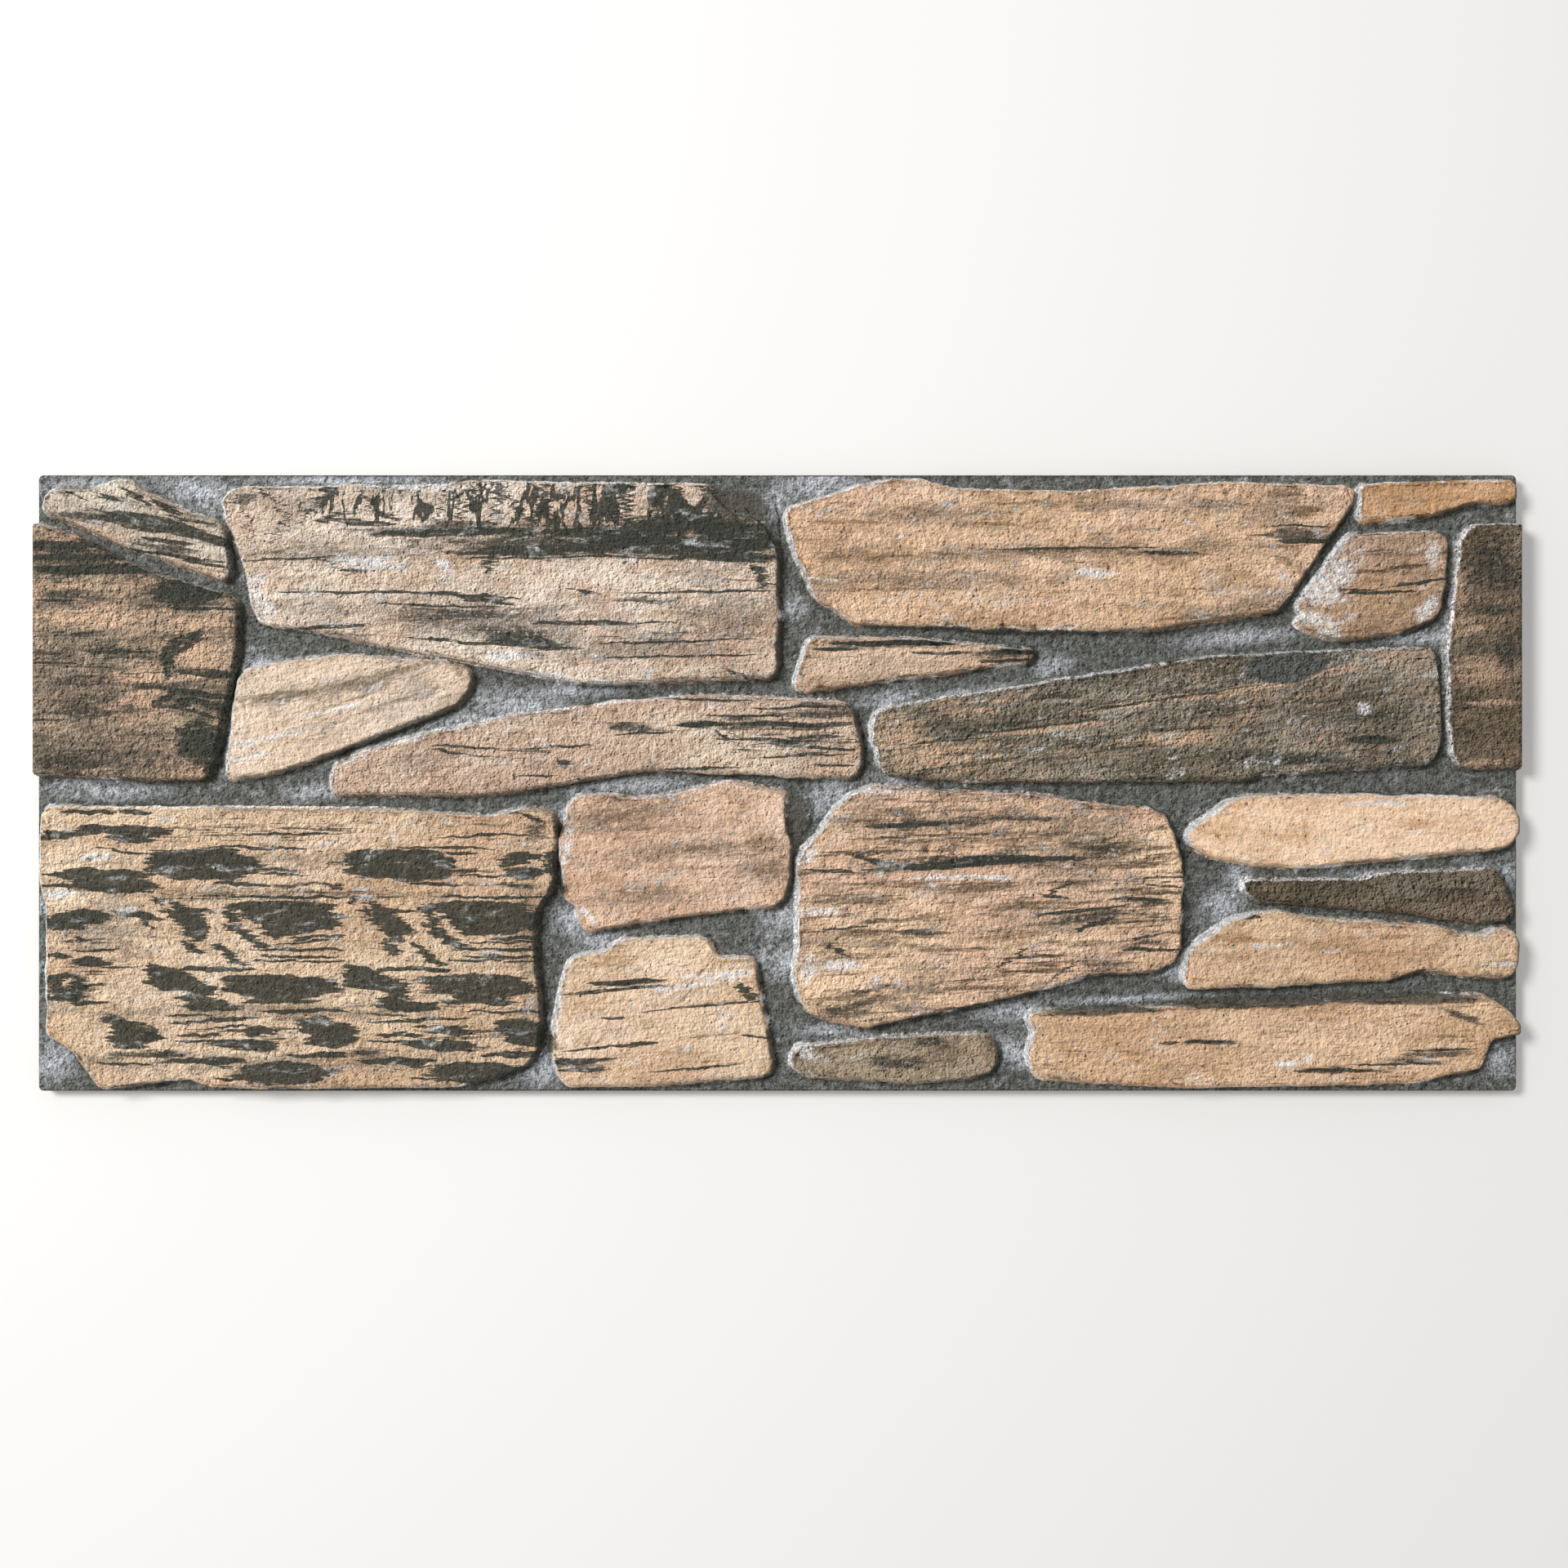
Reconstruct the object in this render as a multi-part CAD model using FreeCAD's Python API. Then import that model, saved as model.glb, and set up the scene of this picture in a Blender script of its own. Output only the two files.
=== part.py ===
import FreeCAD, Part
import math
import os

# Facade tile pressed and fired as one piece, with flat sandstones standing out of recessed joints.
# It lies on its back: +X along the tile, +Y up the wall, +Z out of the face. The origin is the
# middle of the back. All sizes are in millimetres.

# Outline and thickness of the tile
tile_length = 600.0
tile_height = 250.0
bed_thickness = 8.0
corner_radius = 2.0
face_arris = 0.6
back_arris = 1.0

# Flanks of the stones: how far each step lies inside the foot, and how far below the top it ends
flank_run = 0.8
shoulder_run = 1.1
shoulder_drop = 1.6
foot_rounding = 4.0
foot_sink = 1.0

# Corners of a foot: arcs of the rounding, trimmed to this share of the shorter side at most, and
# none where the outline turns by fewer degrees than this
widest_trim = 0.42
least_turn = 5.0

# Back of the tile: lands that touch the wall, with drafted grooves between them for the adhesive
back_margin = 16.0
groove_depth = 1.0
groove_width = 13.0
land_width = 7.0
groove_draft = 0.8
groove_rounding = 4.3

# Broken corners and the worn end of one stone
chip_floor_rise = 2.4
chip_wall_lean = 1.2
worn_end_rise = 2.2
worn_end_width = 15.0

# Height above the bed that clears the tallest stone, for what trims or cuts the stones
above_all = 10.0

# The stones are drawn on a face of this size, from its lower left corner, and scaled to the tile
drawn_length = 600.0
drawn_height = 250.0

# Each stone has the height of its top above the joint bed and the corners of its foot, clockwise.
# Points outside the face belong to stones that the edge of the tile cuts flush.
stones = {
    "top_left_wedge": (6.2, [
        (1.5, 233), (3.5, 244), (24, 245.5), (33, 248.5), (38.5, 248), (45, 243.5), (60.5, 236.5),
        (74.5, 231.5), (78, 227), (80, 214), (80, 204.5), (59, 211.5), (37.5, 219), (19, 227.5)]),
    "left_end_block": (6.6, [
        (-9, 230.5), (3.5, 230.5), (17, 226), (36, 216), (55.5, 208.5), (80, 202), (83, 197), (83, 181),
        (81.5, 168.5), (78.5, 157.5), (76, 144.5), (74, 133), (70.5, 126), (52.5, 124.5), (17.5, 126),
        (-9, 128.5)]),
    "upper_centre_slab": (7.2, [
        (75, 238), (77.5, 243), (84, 245.5), (118.5, 246.5), (165, 246.5), (175, 248), (226.5, 248.5),
        (249.5, 247), (284, 246.5), (292.5, 245), (297.5, 241), (300.5, 233), (301.5, 217), (301.5, 173),
        (299, 166), (259.5, 166), (221.5, 164), (195, 169), (160, 176.5), (117, 183), (90.5, 189),
        (87, 196), (84.5, 209.5), (81.5, 221), (76.5, 231)]),
    "leaf_stone": (6.0, [
        (81, 167), (84.5, 171.5), (94, 174.5), (123.5, 178), (165, 175), (174, 173), (178, 168.5),
        (176.5, 162.5), (172, 156), (150, 146.5), (130.5, 139.5), (112, 132.5), (94, 127), (78, 125),
        (76, 128), (77.5, 141.5), (79.5, 154.5)]),
    "arched_course": (6.4, [
        (119, 129), (121, 134), (127, 137.5), (157, 146), (196.5, 154), (236.5, 159.5), (262, 161.5),
        (290, 161.5), (327.5, 158.5), (331.5, 155), (335, 141), (335, 131.5), (332, 126), (309.5, 126),
        (266, 129), (246.5, 129.5), (213, 124), (196.5, 120.5), (180, 119), (121, 119), (118.5, 123)]),
    "upper_right_slab": (7.0, [
        (302, 233.5), (304.5, 237), (322.5, 242.5), (332.5, 246.5), (345.5, 248.5), (359, 248.5),
        (370.5, 245), (415.5, 243.5), (458.5, 246), (481.5, 247.5), (529.5, 246), (534.5, 243),
        (533, 237), (520, 217.5), (508, 199.5), (503, 193.5), (468.5, 189), (450, 185.5), (399, 185),
        (330, 188.5), (322, 195), (314.5, 198.5), (311.5, 206), (306.5, 216), (303, 227.5)]),
    "thin_wedge": (5.6, [
        (312, 185), (355.5, 184.5), (403, 180), (405.5, 176.5), (403, 173), (355.5, 166), (311, 160.5),
        (306, 163), (306, 167), (308.5, 174.5)]),
    "dark_course": (6.8, [
        (337, 149.5), (339, 154.5), (345.5, 157), (392, 164.5), (428.5, 171), (473.5, 177), (515, 180),
        (564, 181), (567, 176), (569, 164.5), (569, 144.5), (568, 136.5), (564.5, 131.5), (521.5, 129),
        (495, 127), (489, 125), (415.5, 124), (375.5, 124.5), (343, 127.5), (340, 133), (337.5, 143)]),
    "corner_strip": (5.8, [
        (534, 243), (535.5, 246.5), (548, 247.5), (597, 248.5), (599.5, 245.5), (599.5, 239), (596, 237.5),
        (583, 237.5), (564.5, 232), (535.5, 229), (533.5, 234)]),
    "small_block": (6.6, [
        (530.5, 226.5), (564.5, 227.5), (570.5, 226), (572, 222), (571, 207.5), (569, 194.5), (564.5, 189.5),
        (553, 185), (536.5, 182.5), (525.5, 182), (518, 185), (510, 189), (509, 192.5), (513, 200.5),
        (521, 211)]),
    "right_end_block": (6.4, [
        (574.5, 223), (578, 229), (583, 230.5), (609, 230.5), (609, 130), (581, 130), (575.5, 131),
        (571.5, 137), (570, 150), (569.5, 178), (571, 197.5), (573, 211)]),
    "spotted_slab": (7.4, [
        (2, 113), (4.5, 116.5), (50.5, 117), (100.5, 114.5), (143.5, 115.5), (183.5, 112.5), (200, 116.5),
        (208, 115), (211.5, 110.5), (212, 100), (211, 88.5), (208.5, 80), (204, 73.5), (203, 62),
        (206, 29), (204, 17), (200, 10.5), (186.5, 5), (170, 1.5), (94, 0.5), (71.5, 1.5), (62.5, 4.5),
        (52.5, 4), (39, 1.5), (26, 0.5), (21.5, 7.5), (15, 16), (4.5, 23), (3.5, 55.5), (4, 75), (1.5, 85)]),
    "centre_block": (6.6, [
        (215, 117), (219.5, 121), (231.5, 121.5), (244.5, 120), (256, 121.5), (281, 127), (296, 124),
        (311.5, 121), (314.5, 117), (313, 109), (309.5, 101), (306.5, 97), (306.5, 87), (304.5, 78),
        (300, 74), (266, 71), (222, 63.5), (218.5, 69), (217.5, 75), (213, 78), (213, 85), (211, 95),
        (211, 101.5)]),
    "centre_foot_block": (5.8, [
        (215, 53.5), (218.5, 56), (229, 58), (238, 63), (271.5, 64), (277, 55.5), (288.5, 55.5),
        (292, 52.5), (295.5, 34), (299.5, 13), (298.5, 7.5), (293.5, 5), (249.5, 1.5), (214, 1.5),
        (210.5, 6.5), (208, 15.5), (208, 25), (212, 45.5)]),
    "banded_slab": (7.5, [
        (307, 93.5), (309.5, 99), (316, 105.5), (322, 115), (329, 121), (339, 125), (350.5, 125),
        (365.5, 122.5), (402, 122), (435, 116.5), (450, 116), (457, 112.5), (461, 105), (464.5, 93.5),
        (464.5, 75), (464, 58.5), (461.5, 51.5), (453.5, 48), (427, 46.5), (395.5, 37.5), (352.5, 28),
        (336, 25), (322.5, 27), (311.5, 31.5), (307.5, 38.5), (305.5, 47), (307, 58.5)]),
    "pebble": (5.6, [
        (304.5, 15.5), (307.5, 19.5), (342.5, 23.5), (381.5, 25), (387, 23), (390, 17), (390.5, 12.5),
        (387, 7.5), (379, 4.5), (355.5, 2.5), (312.5, 5), (306.5, 8), (304.5, 11.5)]),
    "right_course_a": (6.2, [
        (464, 104.5), (468, 108.5), (481.5, 118), (489, 120.5), (505, 121.5), (574.5, 121), (591, 120),
        (597.5, 117), (600.5, 111.5), (600.5, 104.5), (597, 98.5), (586, 96.5), (528, 92), (510, 89.5),
        (491.5, 91), (475, 94), (467, 98)]),
    "right_course_b": (5.8, [
        (486.5, 84), (489.5, 87), (534.5, 87), (544.5, 89.5), (591, 91.5), (593.5, 87.5), (598.5, 75),
        (597, 68.5), (583, 67), (548, 72), (493.5, 76), (488.5, 80)]),
    "right_course_c": (6.4, [
        (462, 41), (464, 56), (471.5, 63), (481.5, 70), (491.5, 73), (503, 74.5), (513, 72), (568, 68),
        (576, 65), (585, 65), (591, 67.5), (598, 66), (600.5, 60.5), (600, 52), (597.5, 45.5), (581, 45.5),
        (561, 48.5), (548, 44.5), (491.5, 41)]),
    "right_course_d": (6.0, [
        (399.5, 30), (401.5, 33.5), (448.5, 37), (505, 39), (586, 40.5), (596, 33), (601, 28), (601.5, 23),
        (589.5, 20), (585, 8.5), (571, 5.5), (554.5, 2.5), (521.5, 1), (465, 1), (428.5, 2.5), (406, 4),
        (401.5, 8.5), (400, 15.5), (402.5, 24)]),
}

# Corners of a stone that have broken away, leaving a lower floor; clockwise, past the stone's foot
chips = {
    "upper_centre_slab": [
        (272, 252), (306, 252), (306, 216), (299, 222), (295, 229), (290, 233), (283, 233.5), (278, 237),
        (273.5, 243)],
    "centre_block": [
        (304.5, 128), (320, 128), (320, 95), (309, 95), (306, 100.5), (304, 108), (303.5, 118)],
}

# The worn end of a stone slopes down from this line, on the side that lies to the left of it
worn_end_line = {"small_block": ((524, 177), (533, 230))}


def on_tile(point):
    scale_x = tile_length / drawn_length
    scale_y = tile_height / drawn_height
    return (point[0] - drawn_length / 2) * scale_x, (point[1] - drawn_height / 2) * scale_y


def direction(start, end):
    run = math.hypot(end[0] - start[0], end[1] - start[1])
    return (end[0] - start[0]) / run, (end[1] - start[1]) / run


def inset(points, distance):
    # Moves each side of a clockwise outline inwards by the same distance
    moved = []
    for index, point in enumerate(points):
        before = direction(points[index - 1], point)
        after = direction(point, points[(index + 1) % len(points)])
        normal_x = before[1] + after[1]
        normal_y = -before[0] - after[0]
        reach = distance / (1 + before[0] * after[0] + before[1] * after[1])
        moved.append((point[0] + normal_x * reach, point[1] + normal_y * reach))
    return moved


def rounded_wire(points, rounding, z):
    # Straight sides joined by tangent arcs; a corner that hardly turns is left as it is
    count = len(points)
    edges = []
    starts = []
    ends = []
    mids = []
    for index, point in enumerate(points):
        previous = points[index - 1]
        following = points[(index + 1) % count]
        before = direction(previous, point)
        after = direction(point, following)
        turn = math.acos(max(-1.0, min(1.0, before[0] * after[0] + before[1] * after[1])))
        if math.degrees(turn) < least_turn:
            starts.append(point)
            ends.append(point)
            mids.append(None)
            continue
        shortest = min(math.dist(previous, point), math.dist(point, following))
        trim = min(rounding * math.tan(turn / 2), widest_trim * shortest)
        start = (point[0] - before[0] * trim, point[1] - before[1] * trim)
        end = (point[0] + after[0] * trim, point[1] + after[1] * trim)
        radius = trim / math.tan(turn / 2)
        sag = radius * (1 / math.cos(turn / 2) - 1)
        chord = ((start[0] + end[0]) / 2, (start[1] + end[1]) / 2)
        towards = direction(point, chord)
        starts.append(start)
        ends.append(end)
        mids.append((point[0] + towards[0] * sag, point[1] + towards[1] * sag))
    for index in range(count):
        if mids[index]:
            corner = [FreeCAD.Vector(x, y, z) for x, y in (starts[index], mids[index], ends[index])]
            edges.append(Part.Arc(*corner).toShape())
        side_end = starts[(index + 1) % count]
        edges.append(Part.makeLine(FreeCAD.Vector(*ends[index], z), FreeCAD.Vector(*side_end, z)))
    return Part.Wire(edges)


def stone_block(height, outline):
    # Upright inside the bed, then a drafted flank and a worn shoulder up to the flat top
    foot = [on_tile(point) for point in outline]
    top_z = bed_thickness + height
    rings = [
        rounded_wire(foot, foot_rounding, bed_thickness - foot_sink),
        rounded_wire(foot, foot_rounding, bed_thickness),
        rounded_wire(inset(foot, flank_run), foot_rounding, top_z - shoulder_drop),
        rounded_wire(inset(foot, flank_run + shoulder_run), foot_rounding, top_z),
    ]
    return Part.makeLoft(rings, True, True)


def broken_corner(outline):
    # Takes away everything above a low floor, with a wall that leans out towards the top
    floor = [on_tile(point) for point in outline]
    floor_z = bed_thickness + chip_floor_rise
    rim_z = bed_thickness + above_all
    rings = []
    for points, z in ((floor, floor_z), (inset(floor, -chip_wall_lean), rim_z)):
        corners = [FreeCAD.Vector(x, y, z) for x, y in points]
        rings.append(Part.makePolygon(corners + corners[:1]))
    return Part.makeLoft(rings, True, True)


def worn_end(line, height):
    # A wedge that planes the stone down from its top at the line to a low rise at its left end
    lower, upper = (on_tile(point) for point in line)
    along = direction(lower, upper)
    across = (-along[1], along[0])
    top_z = bed_thickness + height
    low_z = bed_thickness + worn_end_rise
    slope = (top_z - low_z) / worn_end_width
    reach = (top_z - bed_thickness) / slope
    far = (lower[0] + across[0] * reach, lower[1] + across[1] * reach)
    clear_z = bed_thickness + above_all
    profile = [
        FreeCAD.Vector(*lower, top_z),
        FreeCAD.Vector(*far, bed_thickness),
        FreeCAD.Vector(*far, clear_z),
        FreeCAD.Vector(*lower, clear_z),
    ]
    run = math.dist(lower, upper)
    face = Part.Face(Part.makePolygon(profile + profile[:1]))
    return face.extrude(FreeCAD.Vector(along[0] * run, along[1] * run, 0))


def footprint(thickness):
    block = Part.makeBox(tile_length, tile_height, thickness)
    block.translate(FreeCAD.Vector(-tile_length / 2, -tile_height / 2, 0))
    upright = [edge for edge in block.Edges if abs(edge.tangentAt(edge.FirstParameter).z) > 0.99]
    return block.makeFillet(corner_radius, upright)


def joint_bed():
    slab = footprint(bed_thickness)
    face_edges = [edge for edge in slab.Edges if edge.BoundBox.ZMin > bed_thickness - 0.01]
    slab = slab.makeChamfer(face_arris, face_edges)
    back_edges = [edge for edge in slab.Edges if edge.BoundBox.ZMax < 0.01]
    return slab.makeChamfer(back_arris, back_edges)


def groove(centre_y):
    # A channel along the back, wider at its mouth, with its ends sloped as its sides are
    rings = []
    for lean, z in ((0.0, groove_depth), (groove_draft, 0.0)):
        half_length = tile_length / 2 - back_margin + lean
        half_width = groove_width / 2 - groove_draft + lean
        corners = [
            (-half_length, centre_y - half_width),
            (-half_length, centre_y + half_width),
            (half_length, centre_y + half_width),
            (half_length, centre_y - half_width),
        ]
        rings.append(rounded_wire(corners, groove_rounding, z))
    return Part.makeLoft(rings, True, True)


def back_grooves():
    pitch = groove_width + land_width
    count = int((tile_height - 2 * back_margin + land_width) // pitch)
    first = -(count - 1) * pitch / 2
    return [groove(first + index * pitch) for index in range(count)]


def tile():
    limits = footprint(bed_thickness + above_all)
    blocks = []
    for name, (height, outline) in stones.items():
        block = stone_block(height, outline)
        if name in chips:
            block = block.cut(broken_corner(chips[name]))
        if name in worn_end_line:
            block = block.cut(worn_end(worn_end_line[name], height))
        blocks.append(block.common(limits))
    body = joint_bed().multiFuse(blocks)
    body = body.cut(back_grooves())
    body = body.removeSplitter()
    return body.Solids[0]


os.makedirs("parts", exist_ok=True)
panel = tile()
panel.exportStep("parts/stone_panel.step")
print("solids", len(panel.Solids), "valid", panel.isValid(), "faces", len(panel.Faces))
print("volume cm3", round(panel.Volume / 1000, 1))
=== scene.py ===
import bpy
import bmesh
import math
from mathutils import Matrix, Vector, kdtree, noise


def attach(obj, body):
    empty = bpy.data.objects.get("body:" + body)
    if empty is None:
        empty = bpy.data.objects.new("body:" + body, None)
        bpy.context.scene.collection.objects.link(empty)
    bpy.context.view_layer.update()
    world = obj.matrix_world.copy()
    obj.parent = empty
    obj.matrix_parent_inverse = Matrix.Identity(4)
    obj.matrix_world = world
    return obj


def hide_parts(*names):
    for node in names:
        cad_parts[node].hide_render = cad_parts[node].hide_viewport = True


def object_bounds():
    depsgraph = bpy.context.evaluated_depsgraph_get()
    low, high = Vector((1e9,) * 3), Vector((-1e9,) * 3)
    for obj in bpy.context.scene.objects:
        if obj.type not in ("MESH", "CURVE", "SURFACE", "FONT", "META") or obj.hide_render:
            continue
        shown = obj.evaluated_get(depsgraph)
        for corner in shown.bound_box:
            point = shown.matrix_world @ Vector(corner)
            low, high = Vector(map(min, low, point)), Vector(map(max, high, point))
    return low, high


# Pressed and printed facade tile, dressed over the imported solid.
# Places and sizes are in millimetres from the middle of the back: x along the tile, y up the wall.

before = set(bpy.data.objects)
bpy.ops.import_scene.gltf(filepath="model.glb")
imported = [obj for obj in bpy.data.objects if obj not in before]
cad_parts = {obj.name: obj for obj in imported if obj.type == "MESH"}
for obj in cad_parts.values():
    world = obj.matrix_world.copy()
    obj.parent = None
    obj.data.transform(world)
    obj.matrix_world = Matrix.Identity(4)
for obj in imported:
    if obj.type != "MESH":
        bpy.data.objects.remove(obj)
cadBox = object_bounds()
mm = 0.001


def say(stage):
    print("stage:", stage)


def toLinear(hexColor):
    # sRGB hex to the linear values that shaders take
    channels = [int(hexColor[i:i + 2], 16) / 255 for i in (1, 3, 5)]
    return [c / 12.92 if c <= 0.04045 else ((c + 0.055) / 1.055) ** 2.4 for c in channels] + [1.0]


def addNode(tree, kind, settings=None, **inputs):
    # One shader node with its settings. An input is a value or the socket that feeds it, named or numbered:
    # i0 is the first one.
    node = tree.nodes.new("ShaderNode" + kind)
    for key, value in (settings or {}).items():
        setattr(node, key, value)
    for key, value in inputs.items():
        numbered = key[0] == "i" and key[1:].isdigit()
        socket = node.inputs[int(key[1:]) if numbered else key.replace("_", " ")]
        if isinstance(value, bpy.types.NodeSocket):
            tree.links.new(value, socket)
        else:
            socket.default_value = value
    return node


def emptyMaterial(name):
    material = bpy.data.materials.new(name)
    material.use_nodes = True
    tree = material.node_tree
    tree.nodes.clear()
    return material, tree, addNode(tree, "TexCoord").outputs["Object"]


def putInScene(name, data):
    thing = bpy.data.objects.new(name, data)
    bpy.context.scene.collection.objects.link(thing)
    return thing


# The relief of the fired face

tileRelief = {
    "passes": (64, 32, 32, 16, 16, 8, 8, 5, 4, 3.4),  # mm, longest mesh edge left after each pass
    "bedTop": 8.0,            # mm, level of the joints
    "topRise": (3, 2, 2.6),   # mm above them: a flat top, and the low and high side of a worn slope
    "leastTop": 300,          # mm², anything smaller is no stone
    "topWaves": ((0.75, 38, 3.1), (0.32, 11, 9.7), (0.13, 3.2, 14.2)),  # mm deep, mm across, seed
    "ledges": (0.35, 46, 7),  # mm high, long and thick: worn steps along the bedding
    "edgeWear": (0.95, 1.9),  # mm down at the crest, and over what width
    "crestChips": (1.6, 9, 0.28, 3),  # mm deep, mm apart, how rare, mm in from the crest
    "deepest": 0.45,          # share of a stone's height that its relief may take
    "ragged": ((0.75, 15), (0.45, 6), (0.28, 2.8)),  # mm that the flanks wander, and over what length
    "flankRock": (0.35, 4, 1.6),  # mm in and out, mm across, times finer up the flank
    "setBack": (0.3, 0.3),    # mm that flanks lie back, and share of it that goes down
    "jointRough": ((0.35, 10, 2, 50), (0.28, 3.5, 3, 60)),  # mm high, mm across, octaves, seed
    "jointFillet": (0.9, 2.8, 1.8, 8),  # mm, mortar-like rise at the flanks: height, foot, fade, patches
    "jointDrop": 0.25,        # mm
    "sideFade": (0.3, 2.5),   # mm from the cut edges to the first relief, and to its full depth
    "litFrom": (-0.89, 0.46),  # where the printed light comes from
}


def solidCopy():
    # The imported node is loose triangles, so this copy of it is merged and freed of needless lines
    bm = bmesh.new()
    bm.from_mesh(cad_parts["stone_panel"].data)
    bm.verts.layers.float.new("inside")
    bm.verts.layers.float.new("lit")
    bm.verts.layers.float.new("powder")
    bmesh.ops.remove_doubles(bm, verts=bm.verts, dist=1e-6)
    bmesh.ops.dissolve_limit(bm, angle_limit=math.radians(3.0), verts=bm.verts, edges=bm.edges)
    bmesh.ops.triangulate(bm, faces=bm.faces)
    return bm


def refineFace(bm):
    # Splits long edges, turns the flat ones for better triangles and evens the points out
    for longest in tileRelief["passes"]:
        tooLong = [e for e in bm.edges if e.calc_length() > longest * mm and all(onFace(v) for v in e.verts)]
        if tooLong:
            bmesh.ops.subdivide_edges(bm, edges=tooLong, cuts=1, use_grid_fill=True, use_single_edge=True)
            bmesh.ops.triangulate(bm, faces=[f for f in bm.faces if len(f.verts) > 3])
        evenOut(bm)
    for _ in range(2):
        evenOut(bm)


def onFace(vert):
    # On the joints or above them
    return vert.co.z > (tileRelief["bedTop"] - 0.1) * mm


def isFlat(edge, most):
    # Whether the two faces of an edge meet nearly flat; an edge with one face never does
    return edge.calc_face_angle(math.pi) < most


def evenOut(bm):
    bm.normal_update()
    flatEdges = [e for e in bm.edges if isFlat(e, math.radians(1.5))]
    bmesh.ops.beautify_fill(bm, faces=bm.faces, edges=flatEdges, method="ANGLE")
    bm.normal_update()
    inFlat = [v for v in bm.verts if onFace(v) and all(isFlat(e, 0.02) for e in v.link_edges)]
    bmesh.ops.smooth_vert(bm, verts=inFlat, factor=0.5, use_axis_x=True, use_axis_y=True, use_axis_z=False)


def isCrest(face):
    # A flat top or a worn slope, but not the low floor of a broken corner
    heights = [v.co.z / mm - tileRelief["bedTop"] for v in face.verts]
    top, slopeFoot, slopeHead = tileRelief["topRise"]
    level = max(heights) - min(heights) < 0.02 and min(heights) > top
    wornSlope = face.normal.z > 0.9 and min(heights) > slopeFoot and max(heights) > slopeHead
    return level or wornSlope


def crestIslands(bm):
    # Each stone's top as a list of faces; small level patches are left out
    waiting = {f for f in bm.faces if isCrest(f)}
    islands = []
    while waiting:
        front = [waiting.pop()]
        island = []
        while front:
            face = front.pop()
            island.append(face)
            for edge in face.edges:
                for other in edge.link_faces:
                    if other in waiting:
                        waiting.discard(other)
                        front.append(other)
        if sum(f.calc_area() for f in island) > tileRelief["leastTop"] * mm * mm:
            islands.append(island)
    return islands


def atTileSide(point):
    return abs(point.x) > cadBox[1].x - 0.15 * mm or abs(point.y) > cadBox[1].y - 0.15 * mm


def waves(point, size, octaves, seed):
    # Smooth noise from -1 to 1 with features of about that many millimetres
    scaled = Vector((point.x / size, point.y / size, point.z / size + seed))
    return noise.fractal(scaled, 1.0, 2.0, octaves)


def crestOutlines(bm, islands):
    # Points along the rim of every stone top, to measure how far in or out a place lies
    points = []
    owners = []
    outwards = []
    for owner, island in enumerate(islands):
        members = set(island)
        for edge in {e for f in island for e in f.edges}:
            inside = [f for f in edge.link_faces if f in members]
            beyond = [f for f in edge.link_faces if f not in members]
            if not inside or not beyond or all(atTileSide(v.co) for v in edge.verts):
                continue
            start, end = (v.co.xy for v in edge.verts)
            outward = Vector((end.y - start.y, start.x - end.x)).normalized()
            if outward.dot(inside[0].calc_center_median().xy - start) > 0:
                outward.negate()
            steps = max(1, round((end - start).length / (0.5 * mm)))
            for i in range(steps):
                points.append(start.lerp(end, i / steps))
                owners.append(owner)
                outwards.append(outward)
    tree = kdtree.KDTree(len(points))
    for i, point in enumerate(points):
        tree.insert((point.x, point.y, 0), i)
    tree.balance()
    return tree, owners, outwards


def nameIslands(islands):
    # The stone whose settings lie nearest to the middle of a top
    names = []
    for island in islands:
        area = sum(f.calc_area() for f in island)
        middle = sum((f.calc_center_median() * f.calc_area() for f in island), Vector()) / area
        distances = {n: (Vector(s["at"]) * mm - middle.xy).length for n, s in stones.items()}
        names.append(min(distances, key=distances.get))
    return names


def roughen(vert, normal, inside, sideFade, bedding):
    # Moves one point of the face by the relief of its place; the stone tops only ever go down
    relief = tileRelief
    x = vert.co.x / mm
    y = vert.co.y / mm
    here = Vector((x, y, 0))
    height = vert.co.z / mm - relief["bedTop"]
    shift = Vector((0, 0, 0))
    if inside > 0:
        drop = 0.0
        for depth, size, seed in relief["topWaves"]:
            drop += depth * (0.5 + 0.5 * waves(here, size, 2, seed))
        step, length, thickness = relief["ledges"]
        along = Vector((math.cos(bedding), math.sin(bedding), 0))
        across = here.y * along.x - here.x * along.y
        layer = Vector((here.dot(along) / length, across / thickness, 5.0))
        drop += step * (0.5 + 0.5 * math.tanh(4 * noise.fractal(layer, 1.0, 2.0, 2)))
        depth, size = relief["edgeWear"]
        drop += depth * math.exp(-inside / size)
        depth, size, rare, reach = relief["crestChips"]
        chip = noise.noise(Vector((x / size, y / size, 21.0)))
        drop += depth * max(0.0, chip - rare) * math.exp(-inside / reach)
        shift.z = -min(drop, height * relief["deepest"])
    elif height > 0.3:
        # flanks wander in and out
        wander = sum(depth * waves(here, size, 1, 30 + size) for depth, size in relief["ragged"])
        depth, size, finer = relief["flankRock"]
        rock = depth * waves(Vector((x, y, height * finer)), size, 2, 40.0)
        back, down = relief["setBack"]
        shift = Vector((normal.x, normal.y, normal.z * down)) * (wander + rock - back)
        shift.z = min(shift.z, 0.0)
    else:
        for depth, size, octaves, seed in relief["jointRough"]:
            shift.z += depth * waves(here, size, octaves, seed)
        depth, foot, fade, size = relief["jointFillet"]
        shift.z += depth * math.exp((inside + foot) / fade) * (0.6 + 0.6 * waves(here, size, 2, 70.0))
        shift.z -= relief["jointDrop"]
    vert.co += shift * sideFade * mm


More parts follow.
